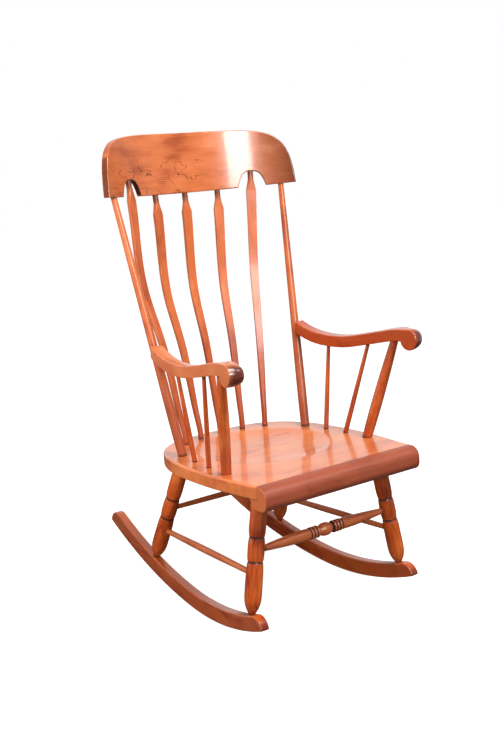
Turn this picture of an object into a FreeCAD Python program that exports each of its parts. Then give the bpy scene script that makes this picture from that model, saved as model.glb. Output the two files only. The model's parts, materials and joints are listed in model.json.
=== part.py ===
"""Arrow-back rocking chair with a curved crest rail, rolled arms and a turned undercarriage.

Millimetres, +Z up, +X to the right as seen from the front, the sitter faces -Y. Left and right
are as seen from the front. Every wooden piece is a solid of its own, joined by round tenons in
blind sockets with a thin glue line. The chair is built with the lowest point of its rockers at
zero, then rolled on the rockers to the pose in which its mass centre hangs under the centre of
their curve, and last moved so that the origin is at the middle of the bottom of its box.

A joint is a tuple of its tenon's radius, the middle of the socket's mouth and the tenon's end.
"""
import FreeCAD, Part
import math
import os

V = FreeCAD.Vector
PARTS_FOLDER = "parts"
SIDES = (("left", -1), ("right", 1))
ENDS = ("front", "rear")
ARROWS = (-2, -1, 0, 1, 2)
SEARCH_STEPS = 50

# Joints, and the distance under which two points are one
glue_gap = 0.1
overrun = 20.0
same_point = 0.002

# Rockers: boards with a closer curve in front of their lowest point and a flatter one behind
rocker_front_radius = 690.0
rocker_rear_radius = 1300.0
rocker_front_top_radius = 696.0
rocker_rear_top_radius = 1226.0
rocker_lowest_y = -50.0
rocker_height = 39.5
rocker_thickness = 22.5
rocker_front_reach = 318.0
rocker_rear_reach = 418.0
rocker_nose_round = 29.0
rocker_tail_round = 33.0
rocker_tip_round = 4.0
rocker_edge_round = 3.0

# Seat: a flat blank that falls to the back, dished, with a roll glued to its front
seat_tilt = 7.1
seat_height = 359.0
seat_thickness = 31.0
seat_half_width = 240.0
seat_front_half_width = 223.0
seat_front = 331.0
seat_back = 166.0
seat_edge_round = 5.0
seat_bottom_round = 3.0
dish_radius = 166.0
dish_depth = 9.0
dish_floor_radius = 70.0
dish_centre = -56.0
roll_depth = 33.0
roll_width_behind = 24.0
roll_height = 55.0
roll_top_round = 25.0
roll_bottom_round = 20.0
roll_end_round = 2.5

# Legs: bamboo turnings, from the rockers to the underside of the seat
leg_radius = 19.6
leg_front_foot_x = 221.0
leg_front_foot_y = -312.0
leg_front_top_x = 171.0
leg_front_top_y = -272.0
leg_rear_foot_x = 197.0
leg_rear_foot_y = 133.0
leg_rear_top_x = 155.0
leg_rear_top_y = 68.0
leg_foot_depth = 18.0
leg_foot_tenon_radius = 5.0
leg_tenon_radius = 12.0
leg_tenon_depth = 22.0

# Stretchers
stretcher_depth = 15.0
side_stretcher_radius = 8.2
back_stretcher_radius = 7.6
front_stretcher_radius = 15.2
bulb_reach = 20.0
bead_width = 8.2
bead_gap = 0.6

# Back: two posts and five bent arrow spindles under a curved crest rail
post_radius = 11.4
post_foot_x = 187.0
post_foot_y = 15.0
post_crest_x = 245.0
post_depth = 22.0
post_tenon_radius = 4.6
post_tenon_depth = 26.0
arrow_half_width = 13.2
arrow_half_thickness = 4.8
arrow_neck_radius = 7.2
arrow_bend = 23.0
arrow_middle_foot_y = 129.0
arrow_inner_foot_x = 64.0
arrow_inner_foot_y = 122.0
arrow_outer_foot_x = 121.0
arrow_outer_foot_y = 101.0
arrow_inner_crest_x = 91.0
arrow_depth = 20.0
arrow_tenon_radius = 5.0
arrow_tenon_depth = 22.0

# Crest rail: a board bent to an arc about an upright axis that leans back
crest_lean = 10.6
crest_foot_y = 271.0
crest_foot_z = 941.0
crest_radius = 415.0
crest_half_length = 295.5
crest_height = 148.0
crest_thickness = 16.0
notch_centre = 182.5
notch_half_width = 36.5
notch_height = 40.0

# Arms: bowed bars that roll over into a knuckle at the front
arm_width = 32.5
arm_knuckle_width = 41.0
arm_thickness = 28.5
arm_turn = 14.0
arm_dip = 6.0
arm_sweep = 62.5
arm_knuckle_radius = 24.8
arm_knuckle_y = -291.0
arm_knuckle_x = 255.0
arm_middle_x = 231.0
arm_post_height = 610.0
arm_lowest = arm_post_height - arm_dip
arm_cope = 7.0
arm_edge_round = 4.0
arm_tenon_radius = 5.5
arm_tenon_depth = 8.0

# Spindles and posts under the arms
arm_spindle_radius = 6.0
arm_spindle_depth = 16.0
arm_spindle_rise = 14.0
arm_spindle_rear_foot_x = 198.0
arm_spindle_rear_foot_y = -56.0
arm_spindle_rear_top_y = -28.0
arm_spindle_front_foot_x = 204.0
arm_spindle_front_foot_y = -124.0
arm_spindle_front_top_y = -158.0
arm_post_radius = 13.0
arm_post_foot_x = 208.0
arm_post_foot_y = -200.0
arm_post_top_y = -239.0
arm_post_depth = 20.0
arm_post_rise = 15.0

# Outlines, as shares of the sizes that they follow
seat_side_shares = (
    (0.0, 0.930), (0.11, 0.957), (0.25, 0.990), (0.40, 1.0), (0.55, 0.985),
    (0.69, 0.945), (0.80, 0.865), (0.88, 0.765), (0.95, 0.600), (0.987, 0.380), (1.0, 0.0),
)
dish_wall_shares = ((0.0, 1.0), (0.30, 0.94), (0.55, 0.77), (0.80, 0.42), (1.0, 0.0))
crest_outline_shares = (
    (1.0, 0.0), (0.990, 0.24), (0.968, 0.47), (0.932, 0.64), (0.885, 0.755), (0.82, 0.850),
    (0.73, 0.915), (0.60, 0.960), (0.42, 0.988), (0.21, 0.998), (0.0, 1.0),
)
notch_outline_shares = (
    (-1.0, 0.0), (-0.80, 0.50), (-0.52, 0.86), (0.0, 1.0), (0.52, 0.86), (0.80, 0.50), (1.0, 0.0),
)
leg_foot_shares = (
    (0.0, 0.40), (0.012, 0.43), (0.028, 0.55), (0.06, 0.76), (0.105, 0.94), (0.165, 1.0),
    (0.28, 0.995), (0.37, 0.965), (0.418, 0.90),
)
leg_middle_shares = ((0.436, 0.90), (0.475, 0.955), (0.53, 0.965), (0.585, 0.945), (0.616, 0.885))
leg_top_shares = ((0.634, 0.885), (0.675, 0.95), (0.76, 0.965), (0.88, 0.955), (1.0, 0.925))
leg_groove_share = 0.82
post_shares = ((0.0, 0.95), (0.10, 1.0), (0.43, 0.90), (0.75, 0.76), (1.0, 0.64))
arm_post_shares = ((0.0, 0.90), (0.30, 1.0), (0.62, 0.94), (0.85, 0.82), (1.0, 0.71))
arm_spindle_shares = ((0.0, 1.0), (0.35, 0.97), (0.70, 0.85), (1.0, 0.73))
stretcher_shares = ((0.0, 0.80), (0.18, 0.88), (0.5, 1.0), (0.82, 0.88), (1.0, 0.80))
cone_shares = ((0.0, 0.86), (0.12, 0.88), (0.36, 0.83), (0.66, 0.68), (1.0, 0.46))
bulb_shares = ((0.0, 1.0), (0.45, 0.93), (0.80, 0.72), (1.0, 0.60))
bead_shares = ((0.0, 0.80), (0.20, 0.903), (0.50, 0.95), (0.80, 0.903), (1.0, 0.80))
bead_count = 3
front_stretcher_leg_share = 0.515
side_stretcher_front_share = 0.325
side_stretcher_rear_share = 0.290
back_stretcher_share = 0.510
arrow_round_shares = (
    (0.0, 0.54), (0.10, 0.57), (0.24, 0.68), (0.42, 0.78), (0.60, 0.85), (0.76, 0.91),
    (0.88, 0.975), (0.925, 1.0),
)
arrow_neck_share = 0.968
arrow_flat_limit_share = 0.97
arrow_bend_shares = (
    (0.0, 0.0), (0.12, 0.0), (0.30, 0.10), (0.46, 0.62), (0.60, 1.0), (0.76, 0.72),
    (0.90, 0.20), (1.0, 0.0),
)
arrow_flat_shares = (
    (0.0, 1.62), (0.14, 1.60), (0.26, 1.30), (0.40, 1.06), (0.60, 1.0), (0.80, 1.0),
    (0.925, 1.02), (0.975, 1.60), (1.0, 1.62),
)
arm_top_shares = (
    (-0.08, 0.44), (-0.03, 0.33), (0.095, 0.093), (0.25, 0.0), (0.45, 0.123), (0.65, 0.458),
    (0.859, 0.850), (1.0, 1.0),
)
arm_bottom_end_share = 0.93
arm_flare_shares = ((-0.17, 0.0), (0.12, 0.0), (0.42, 0.0), (0.71, 0.15), (0.90, 0.75), (1.17, 1.0))


def spline(points):
    """Return the edge of a smooth curve through the points."""
    curve = Part.BSplineCurve()
    curve.interpolate(points)
    return curve.toShape()


def spline_between(points, leaving, arriving):
    """Return the edge of a smooth curve through the points with its directions at both ends."""
    curve = Part.BSplineCurve()
    curve.interpolate(Points=points, InitialTangent=leaving, FinalTangent=arriving)
    return curve.toShape()


def path_edge(points):
    """Return a straight edge for two points and a smooth one for more."""
    if len(points) == 2:
        return Part.makeLine(points[0], points[1])
    return spline(points)


def closed_face(edges):
    """Return the flat face inside edges given in any order."""
    return Part.Face(Part.Wire(Part.__sortEdges__(edges)))


def table_value(table, share):
    """Return a table's value at a share, on straight lines between its rows."""
    for (low, start), (high, end) in zip(table, table[1:]):
        if share <= high:
            return start + (end - start) * (share - low) / (high - low)
    return table[-1][1]


def smooth_value(table, share):
    """Return a table's value at a share, on a smooth curve through its rows."""
    curve = Part.BSplineCurve()
    curve.interpolate([V(place, value, 0) for place, value in table])
    low, high = curve.FirstParameter, curve.LastParameter
    for _ in range(SEARCH_STEPS):
        middle = (low + high) / 2
        if curve.value(middle).x < share:
            low = middle
        else:
            high = middle
    return curve.value(low).y


def scaled(table, radius):
    """Return a table of radius shares as a run of (share, radius)."""
    return [(share, value * radius) for share, value in table]


def turned(runs, start, end):
    """Return a turned piece from start to end; each run is (share of the length, radius)."""
    length = (end - start).Length
    bottom = V(0, 0, runs[0][0][0] * length)
    top = V(0, 0, runs[-1][-1][0] * length)
    edges = []
    last = bottom
    for run in runs:
        points = [V(radius, 0, share * length) for share, radius in run]
        if not points[0].isEqual(last, same_point):
            edges.append(Part.makeLine(last, points[0]))
        edges.append(path_edge(points))
        last = points[-1]
    edges.append(Part.makeLine(last, top))
    edges.append(Part.makeLine(top, bottom))
    solid = Part.Face(Part.Wire(edges)).revolve(V(0, 0, 0), V(0, 0, 1), 360)
    solid.Placement = FreeCAD.Placement(start, FreeCAD.Rotation(V(0, 0, 1), end - start))
    return solid


def straight_turning(table, radius, start, end, below, above):
    """Return a turned stick that runs on past its ends by the two depths given."""
    length = (end - start).Length
    run = scaled(table, radius)
    foot = [(-below / length, run[0][1]), run[0]]
    head = [run[-1], (1 + above / length, run[-1][1])]
    return turned([foot, run, head], start, end)


def beyond(start, end, length):
    """Return the point past end by length on the line from start."""
    return end + (end - start).normalize() * length


def peg(radius, start, end):
    """Return a round peg from start to end."""
    return Part.makeCylinder(radius, (end - start).Length, start, end - start)


def tenon(joint):
    """Return the tenon of a joint, begun by its own radius inside the piece that carries it."""
    radius, mouth, end = joint
    return peg(radius, beyond(end, mouth, radius), end)


def bored(body, joints):
    """Return the body with a blind socket for each joint, looser than its tenon by the glue."""
    for radius, mouth, end in joints:
        outer = beyond(end, mouth, overrun)
        floor = beyond(mouth, end, glue_gap)
        body = body.cut(peg(radius + glue_gap, outer, floor))
    return body


def rocker_point(y, top):
    """Return the point of the rocker's top or bottom curve at a place fore and aft."""
    ahead = y < rocker_lowest_y
    radius = rocker_front_radius if ahead else rocker_rear_radius
    lift = 0
    if top:
        radius = rocker_front_top_radius if ahead else rocker_rear_top_radius
        lift = rocker_height
    return V(0, y, lift + radius - math.sqrt(radius ** 2 - (y - rocker_lowest_y) ** 2))


def rocker_toe():
    """Return how far the rocker's plane turns from fore and aft, as a slope."""
    return (leg_front_foot_x - leg_rear_foot_x) / (leg_rear_foot_y - leg_front_foot_y)


def rocker_curve(front, rear, top):
    """Return the two arcs of the rocker's top or bottom, from the front to the rear."""
    places = (front, (front + rocker_lowest_y) / 2, rocker_lowest_y)
    arcs = [Part.Arc(*[rocker_point(y, top) for y in places]).toShape()]
    places = (rocker_lowest_y, (rocker_lowest_y + rear) / 2, rear)
    arcs.append(Part.Arc(*[rocker_point(y, top) for y in places]).toShape())
    return arcs


def rocker_blank(side):
    """Return one rocker: curved top and bottom, rounded ends, toed in to the back."""
    front, rear = rocker_lowest_y - rocker_front_reach, rocker_lowest_y + rocker_rear_reach
    front_square = rocker_front_reach * rocker_height / rocker_front_radius
    rear_square = rocker_rear_reach * rocker_height / rocker_rear_radius
    bottom = rocker_curve(front, rear, False)
    top = rocker_curve(front + front_square, rear - rear_square, True)
    ends = [Part.makeLine(rocker_point(front, False), rocker_point(front + front_square, True)),
            Part.makeLine(rocker_point(rear, False), rocker_point(rear - rear_square, True))]
    board = closed_face(bottom + ends + top).extrude(V(rocker_thickness, 0, 0))
    board.translate(V(-rocker_thickness / 2, 0, 0))
    for y, upper, radius in ((front, True, rocker_nose_round), (rear, True, rocker_tail_round),
                             (front, False, rocker_tip_round), (rear, False, rocker_tip_round)):
        board = board.makeFillet(radius, [rocker_corner(board, y, upper)])
    board = board.makeFillet(rocker_edge_round, rocker_rims(board))
    board.rotate(V(0, 0, 0), V(0, 0, 1), side * math.degrees(math.atan(rocker_toe())))
    board.translate(V(side * (leg_front_foot_x + rocker_toe() * leg_front_foot_y), 0, 0))
    return board


def rocker_corner(board, y, upper):
    """Return the corner edge across the board at one end, at its top or its bottom."""
    across = [edge for edge in board.Edges
              if abs(edge.BoundBox.XLength - rocker_thickness) < glue_gap
              and edge.BoundBox.ZLength < glue_gap
              and abs(edge.BoundBox.Center.y - y) < rocker_nose_round]
    across.sort(key=lambda edge: edge.BoundBox.Center.z)
    return across[-1] if upper else across[0]


def rocker_rims(board):
    """Return the edges of the board's two flat faces."""
    half = rocker_thickness / 2
    return [edge for edge in board.Edges
            if edge.BoundBox.XLength < glue_gap
            and abs(abs(edge.BoundBox.Center.x) - half) < glue_gap]


def seat_place():
    """Return the placement of the seat's own frame: top face at zero, back along +Y."""
    return FreeCAD.Placement(V(0, 0, seat_height), FreeCAD.Rotation(V(1, 0, 0), -seat_tilt))


def on_seat(x, y, depth):
    """Return the point at x, y on the seat, at a depth under its top face."""
    return seat_place().multVec(V(x, y, -depth))


def seat_outline():
    """Return the seat's outline on its top face, from the joint with the roll to the back."""
    length = seat_front + seat_back
    right = [V(seat_half_width * wide, -seat_front + length * along, 0)
             for along, wide in seat_side_shares]
    left = [V(-point.x, point.y, 0) for point in reversed(right[:-1])]
    return Part.Wire([spline(right + left), Part.makeLine(left[-1], right[0])])


def dish():
    """Return the shallow hollow with a flat floor that is cut from the top of the seat."""
    reach = dish_radius - dish_floor_radius
    wall = [V(dish_floor_radius + reach * along, 0, -dish_depth * down)
            for along, down in dish_wall_shares]
    rim = V(dish_radius + dish_depth, 0, dish_depth)
    middle = V(0, 0, rim.z)
    bottom = V(0, 0, wall[0].z)
    slope = wall[-1] - wall[-2]
    bowl = closed_face([Part.makeLine(bottom, wall[0]), spline_between(wall, V(reach, 0, 0), slope),
                        Part.makeLine(wall[-1], rim), Part.makeLine(rim, middle),
                        Part.makeLine(middle, bottom)])
    bowl = bowl.revolve(V(0, 0, 0), V(0, 0, 1), 360)
    bowl.translate(V(0, dish_centre, 0))
    return bowl


def seat_rim(board, z):
    """Return the long curved edge of the seat's blank at a height."""
    return [edge for edge in board.Edges
            if edge.BoundBox.ZLength < glue_gap and edge.BoundBox.YLength > seat_back
            and abs(edge.BoundBox.Center.z - z) < glue_gap]


def seat_blank():
    """Return the dished seat with rounded edges, without its sockets."""
    board = Part.Face(seat_outline()).extrude(V(0, 0, -seat_thickness))
    board = board.makeFillet(seat_edge_round, seat_rim(board, 0))
    board = board.makeFillet(seat_bottom_round, seat_rim(board, -seat_thickness))
    board = board.cut(dish())
    board.Placement = seat_place()
    return board


def seat_front_roll():
    """Return the rounded nosing glued to the front edge and under the front of the seat."""
    joint = -seat_front - glue_gap
    front = joint - roll_depth
    behind = joint + roll_width_behind
    low = -roll_height
    step = -seat_thickness - glue_gap
    corners = [V(0, joint, 0), V(0, front, 0), V(0, front, low), V(0, behind, low),
               V(0, behind, step), V(0, joint, step)]
    face = Part.Face(Part.makePolygon(corners + corners[:1]))
    bar = face.extrude(V(2 * seat_front_half_width, 0, 0))
    bar.translate(V(-seat_front_half_width, 0, 0))
    for y, z, radius in ((front, 0, roll_top_round), (front, low, roll_bottom_round),
                         (behind, low, seat_bottom_round)):
        bar = bar.makeFillet(radius, [roll_edge(bar, y, z)])
    ends = [edge for edge in bar.Edges
            if edge.BoundBox.XLength < glue_gap and edge.BoundBox.Center.y < joint - glue_gap]
    bar = bar.makeFillet(roll_end_round, ends)
    bar.Placement = seat_place()
    return bar


def roll_edge(bar, y, z):
    """Return the bar's edge along X at a place in its section."""
    return min((edge for edge in bar.Edges if edge.BoundBox.XLength > seat_front_half_width),
               key=lambda edge: (edge.BoundBox.Center - V(0, y, z)).Length)


def leg_line(end, side):
    """Return the foot and the top of a leg's axis, on the rocker and under the seat."""
    foot_x, foot_y, top_x, top_y = {
        "front": (leg_front_foot_x, leg_front_foot_y, leg_front_top_x, leg_front_top_y),
        "rear": (leg_rear_foot_x, leg_rear_foot_y, leg_rear_top_x, leg_rear_top_y),
    }[end]
    foot = V(side * foot_x, foot_y, rocker_point(foot_y, True).z)
    return foot, on_seat(side * top_x, top_y, seat_thickness)


def leg_point(end, side, share):
    """Return the point at a share of a leg's axis."""
    foot, top = leg_line(end, side)
    return foot + (top - foot) * share


def leg_joints(end, side):
    """Return the joints of a leg with its rocker and with the seat."""
    foot, top = leg_line(end, side)
    return ((leg_foot_tenon_radius, foot, beyond(top, foot, leg_foot_depth)),
            (leg_tenon_radius, top, beyond(foot, top, leg_tenon_depth)))


def above_underside():
    """Return a block that fills the space over the seat's underside."""
    size = seat_front + seat_back
    block = Part.makeBox(2 * size, 2 * size, seat_height, V(-size, -size, -seat_thickness))
    block.Placement = seat_place()
    return block


def leg(end, side, rocker):
    """Return a turned leg: bamboo grooves, a bulbous foot coped to its rocker, two tenons."""
    foot, top = leg_line(end, side)
    groove = leg_radius * leg_groove_share
    lower, middle, upper = (scaled(table, leg_radius)
                            for table in (leg_foot_shares, leg_middle_shares, leg_top_shares))
    first = ((lower[-1][0] + middle[0][0]) / 2, groove)
    second = ((middle[-1][0] + upper[0][0]) / 2, groove)
    past = (1 + leg_radius / (top - foot).Length, upper[-1][1])
    below = (-lower[0][1] / (top - foot).Length, lower[0][1])
    runs = [[below, lower[0]], lower, [lower[-1], first], [first, middle[0]], middle,
            [middle[-1], second], [second, upper[0]], upper, [upper[-1], past]]
    body = turned(runs, foot, top).cut([above_underside(), rocker])
    return body.fuse([tenon(joint) for joint in leg_joints(end, side)]).removeSplitter()


def stretcher_line(first, second):
    """Return the ends of a stretcher where it leaves the wood of its two legs."""
    start, end = leg_point(*first), leg_point(*second)
    along = (end - start).normalize()
    return start + along * leg_radius, end - along * leg_radius


def stretcher_joints(radius, start, end):
    """Return the joints of a stretcher with the legs at its start and its end."""
    return ((radius, start, beyond(end, start, stretcher_depth)),
            (radius, end, beyond(start, end, stretcher_depth)))


def front_line():
    """Return the ends of the front stretcher, at the wood of the front legs."""
    return stretcher_line(("front", -1, front_stretcher_leg_share),
                          ("front", 1, front_stretcher_leg_share))


def side_line(side):
    """Return the ends of a side stretcher, at the wood of the front and of the rear leg."""
    return stretcher_line(("front", side, side_stretcher_front_share),
                          ("rear", side, side_stretcher_rear_share))


def back_line():
    """Return the ends of the back stretcher, at the wood of the rear legs."""
    return stretcher_line(("rear", -1, back_stretcher_share), ("rear", 1, back_stretcher_share))


def front_stretcher_half(length):
    """Return the runs of half of the front stretcher, from its middle to its end, in lengths."""
    radius = front_stretcher_radius
    runs = [[(share * bulb_reach, value * radius) for share, value in bulb_shares]]
    place = bulb_reach + bead_gap
    for _ in range(bead_count):
        runs.append([(place + share * bead_width, value * radius) for share, value in bead_shares])
        place += bead_width + bead_gap
    rest = length - place
    runs.append([(place + share * rest, value * radius) for share, value in cone_shares])
    return runs


def front_stretcher():
    """Return the turned front stretcher: a bulb between two groups of beads, and long cones."""
    start, end = front_line()
    length = (end - start).Length
    half = length / 2
    runs = [[((half + place) / length, radius) for place, radius in run]
            for run in front_stretcher_half(half)]
    runs.append([runs[-1][-1], (1 + stretcher_depth / length, runs[-1][-1][1])])
    mirrored = [[(1 - share, radius) for share, radius in reversed(run)] for run in reversed(runs)]
    return turned(mirrored + runs, start, end)


def plain_stretcher(radius, line):
    """Return a plain turned stretcher that runs into both legs."""
    return straight_turning(stretcher_shares, radius, *line, stretcher_depth, stretcher_depth)


def stretchers():
    """Return the four stretchers by name, each as its shape and its two joints."""
    found = {}
    line = front_line()
    found["front"] = (front_stretcher(),
                      stretcher_joints(cone_shares[-1][1] * front_stretcher_radius, *line))
    for name, side in SIDES:
        line = side_line(side)
        found[name] = (plain_stretcher(side_stretcher_radius, line),
                       stretcher_joints(stretcher_shares[0][1] * side_stretcher_radius, *line))
    line = back_line()
    found["back"] = (plain_stretcher(back_stretcher_radius, line),
                     stretcher_joints(stretcher_shares[0][1] * back_stretcher_radius, *line))
    return found


def crest_place():
    """Return the placement of the crest's frame: foot of its front face at zero, up along +Z."""
    return FreeCAD.Placement(V(0, crest_foot_y, crest_foot_z),
                             FreeCAD.Rotation(V(1, 0, 0), -crest_lean))


def crest_rise():
    """Return the direction in which the crest stands up."""
    return crest_place().Rotation.multVec(V(0, 0, 1))


def on_crest(arc, height):
    """Return the point in the middle of the crest's thickness, at an arc length and height."""
    angle = arc / crest_radius
    middle = crest_radius + crest_thickness / 2
    local = V(middle * math.sin(angle), middle * math.cos(angle) - crest_radius, height)
    return crest_place().multVec(local)


def crest_edge(surface, points):
    """Return the edge on a cylinder through points given as (arc length, height)."""
    if len(points) == 2:
        ends = [FreeCAD.Base.Vector2d(crest_turn(arc), height) for arc, height in points]
        return Part.Geom2d.Line2dSegment(ends[0], ends[1]).toShape(surface)
    curve = Part.Geom2d.BSplineCurve2d()
    curve.interpolate([FreeCAD.Base.Vector2d(arc, height) for arc, height in points])
    for number, pole in enumerate(curve.getPoles(), 1):
        curve.setPole(number, FreeCAD.Base.Vector2d(crest_turn(pole.x), pole.y))
    return curve.toShape(surface)


def crest_turn(arc):
    """Return the angle round the crest's cylinder at an arc length from its middle."""
    return math.pi / 2 - arc / crest_radius


def crest_runs():
    """Return the crest's outline as runs of (arc length, height), once round."""
    half = [(crest_half_length * along, crest_height * up) for along, up in crest_outline_shares]
    runs = [half + [(-along, up) for along, up in reversed(half[:-1])]]
    place = -crest_half_length
    for _, side in SIDES:
        arch = [(side * notch_centre + notch_half_width * across, notch_height * up)
                for across, up in notch_outline_shares]
        runs += [[(place, 0), arch[0]], arch]
        place = arch[-1][0]
    runs.append([(place, 0), (crest_half_length, 0)])
    return runs


def crest_skin(radius):
    """Return one face of the crest, on the cylinder of a radius, and its edges in order."""
    surface = Part.Cylinder()
    surface.Radius = radius
    edges = [crest_edge(surface, run) for run in crest_runs()]
    return Part.Face(surface, Part.Wire(edges)), edges


def crest_blank():
    """Return the bent crest rail with its two notches, without its sockets."""
    inner, near = crest_skin(crest_radius)
    outer, far = crest_skin(crest_radius + crest_thickness)
    walls = [Part.makeRuledSurface(first, second) for first, second in zip(near, far)]
    shell = Part.makeShell([inner, outer] + walls)
    shell.sewShape()
    solid = Part.makeSolid(shell)
    if solid.Volume < 0:
        solid.reverse()
    solid.translate(V(0, -crest_radius, 0))
    solid.Placement = crest_place().multiply(solid.Placement)
    return solid


def above_crest(height):
    """Return a block that fills the space over a level of the crest."""
    size = crest_radius
    block = Part.makeBox(2 * size, 2 * size, crest_height, V(-size, -size, height))
    block.Placement = crest_place()
    return block


def post_line(side):
    """Return the foot on the seat and the top under the crest of a back post's axis."""
    middle = crest_radius + crest_thickness / 2
    arc = side * crest_radius * math.asin(post_crest_x / middle)
    return on_seat(side * post_foot_x, post_foot_y, 0), on_crest(arc, 0)


def post_joints(side):
    """Return the joints of a back post with the seat and with the crest."""
    foot, top = post_line(side)
    return ((post_shares[0][1] * post_radius, foot, beyond(top, foot, post_depth)),
            (post_tenon_radius, top, top + crest_rise() * post_tenon_depth))


def back_post(side):
    """Return a straight tapered post, let into the seat, with a tenon into the crest."""
    foot, top = post_line(side)
    body = straight_turning(post_shares, post_radius, foot, top, post_depth, post_radius)
    return body.cut(above_crest(0)).fuse(tenon(post_joints(side)[1])).removeSplitter()


def arrow_place(number):
    """Return an arrow spindle's foot on the seat and its arc and height on the crest."""
    side = (number > 0) - (number < 0)
    foot_x, foot_y, arc, height = {
        0: (0, arrow_middle_foot_y, 0, 0),
        1: (arrow_inner_foot_x, arrow_inner_foot_y, arrow_inner_crest_x, 0),
        2: (arrow_outer_foot_x, arrow_outer_foot_y, notch_centre, notch_height),
    }[abs(number)]
    return side * foot_x, foot_y, side * arc, height


def arrow_frame(number):
    """Return an arrow spindle's foot, its axis, the way it bends and the way across it."""
    foot_x, foot_y, arc, height = arrow_place(number)
    foot = on_seat(foot_x, foot_y, 0)
    axis = on_crest(arc, height) - foot
    angle = arc / crest_radius
    across = axis.cross(V(math.sin(angle), math.cos(angle), 0)).normalize()
    return foot, axis, axis.cross(across).normalize() * -1, across


def arrow_point(number, share):
    """Return the point of an arrow spindle's centre line at a share of its length."""
    foot, axis, outward, _ = arrow_frame(number)
    return foot + axis * share + outward * (arrow_bend * smooth_value(arrow_bend_shares, share))


def arrow_joints(number):
    """Return the joints of an arrow spindle with the seat and with the crest."""
    foot, axis, _, _ = arrow_frame(number)
    top = foot + axis
    return ((arrow_round_shares[0][1] * arrow_half_width, foot, beyond(top, foot, arrow_depth)),
            (arrow_tenon_radius, top, top + crest_rise() * arrow_tenon_depth))


def arrow_section(number, share, radius):
    """Return the outline across an arrow spindle: a circle with its front and back sanded flat."""
    near_share = arrow_round_shares[1][0] / 2
    low, high = max(share - near_share, 0), min(share + near_share, 1)
    along = arrow_point(number, high) - arrow_point(number, low)
    across = arrow_frame(number)[3]
    outward = across.cross(along).normalize()
    flat = table_value(arrow_flat_shares, share) * arrow_half_thickness
    flat = min(flat, radius * arrow_flat_limit_share)
    half = math.sqrt(radius ** 2 - flat ** 2)
    centre = arrow_point(number, min(share, 1)) + arrow_frame(number)[1] * max(share - 1, 0)
    corners = [centre + across * (half * wide) + outward * (flat * deep)
               for wide, deep in ((-1, 1), (1, 1), (1, -1), (-1, -1))]
    return Part.Wire([Part.makeLine(corners[0], corners[1]),
                      Part.Arc(corners[1], centre + across * radius, corners[2]).toShape(),
                      Part.makeLine(corners[2], corners[3]),
                      Part.Arc(corners[3], centre - across * radius, corners[0]).toShape()])


def arrow_spindle(number, crest):
    """Return a bent arrow spindle, let into the seat, coped to the crest, with a tenon."""
    at_seat, at_crest = arrow_joints(number)
    height = arrow_place(number)[3]
    sections = [arrow_section(number, share, value * arrow_half_width)
                for share, value in arrow_round_shares]
    past_share = 1 + arrow_neck_radius / arrow_frame(number)[1].Length
    neck = [arrow_section(number, share, arrow_neck_radius)
            for share in (arrow_neck_share, past_share)]
    blade = Part.makeLoft(sections, True, False)
    shoulder = Part.makeLoft([sections[-1]] + neck, True, True)
    body = blade.fuse(shoulder).cut(above_crest(height))
    if height > 0:
        body = body.cut(crest)
    return body.fuse([peg(*at_seat), tenon(at_crest)]).removeSplitter()


def arm_back():
    """Return the point on the right back post's axis at the middle of the arm's thickness."""
    foot, top = post_line(1)
    return foot + (top - foot) * ((arm_post_height - foot.z) / (top.z - foot.z))


def arm_line(share):
    """Return the point of the right arm's middle line in plan, at a share from post to knuckle."""
    back = arm_back()
    bow = arm_middle_x - (back.x + arm_knuckle_x) / 2
    x = back.x + (arm_knuckle_x - back.x) * share + bow * (1 - (2 * share - 1) ** 2)
    return V(x, back.y + (arm_knuckle_y - back.y) * share, 0)


def arm_skew(x):
    """Return how far back the right arm's side view stands at a place, as the knuckle turns out."""
    return (x - arm_knuckle_x) * math.tan(math.radians(arm_turn))


def under_arm(side, y):
    """Return the point in the middle of an arm's underside at a place fore and aft."""
    reach = arm_knuckle_y - arm_back().y
    x = arm_line((y - arm_back().y) / reach).x
    share = (y - arm_skew(x) - arm_back().y) / reach
    top = arm_lowest + arm_sweep * smooth_value(arm_top_shares, share)
    return V(side * x, y, top - arm_thickness)


def arm_profile():
    """Return the face of the arm's side view, in the plane through the chair's middle."""
    base = arm_back().y
    length = arm_knuckle_y - base
    top = [V(0, base + length * along, arm_lowest + arm_sweep * up) for along, up in arm_top_shares]
    under = [V(0, point.y, point.z - arm_thickness) for point in top[:-1]]
    level = arm_lowest + arm_sweep * table_value(arm_top_shares, arm_bottom_end_share)
    under.append(V(0, base + length * arm_bottom_end_share, level - arm_thickness))
    centre = top[-1] - V(0, 0, arm_knuckle_radius)
    front = centre + V(0, -arm_knuckle_radius, 0)
    bottom = centre + V(0, 0, -arm_knuckle_radius)
    drop = centre.z - under[-1].z
    meet = centre + V(0, math.sqrt(arm_knuckle_radius ** 2 - drop ** 2), -drop)
    halfway = centre + ((bottom + meet) / 2 - centre).normalize() * arm_knuckle_radius
    return closed_face([spline(top), Part.Arc(top[-1], front, bottom).toShape(),
                        Part.Arc(bottom, halfway, meet).toShape(), Part.makeLine(meet, under[-1]),
                        spline(under), Part.makeLine(under[0], top[0])])


def arm_plan():
    """Return the face of the right arm's plan, a bowed strip that widens to the knuckle."""
    outer, inner = [], []
    for share, flare in arm_flare_shares:
        point = arm_line(share)
        half = (arm_width + (arm_knuckle_width - arm_width) * flare) / 2
        outer.append(V(point.x + half, point.y, 0))
        inner.append(V(point.x - half, point.y, 0))
    return closed_face([spline(outer), Part.makeLine(outer[-1], inner[-1]), spline(inner),
                        Part.makeLine(inner[0], outer[0])])


def arm_joint(side):
    """Return the joint of an arm with its back post."""
    back = arm_back()
    foot, top = post_line(1)
    reach = post_radius * table_value(post_shares, (back.z - foot.z) / (top.z - foot.z))
    mouth = V(side * back.x, back.y - reach, back.z)
    return arm_tenon_radius, mouth, mouth + V(0, arm_tenon_depth, 0)


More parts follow.
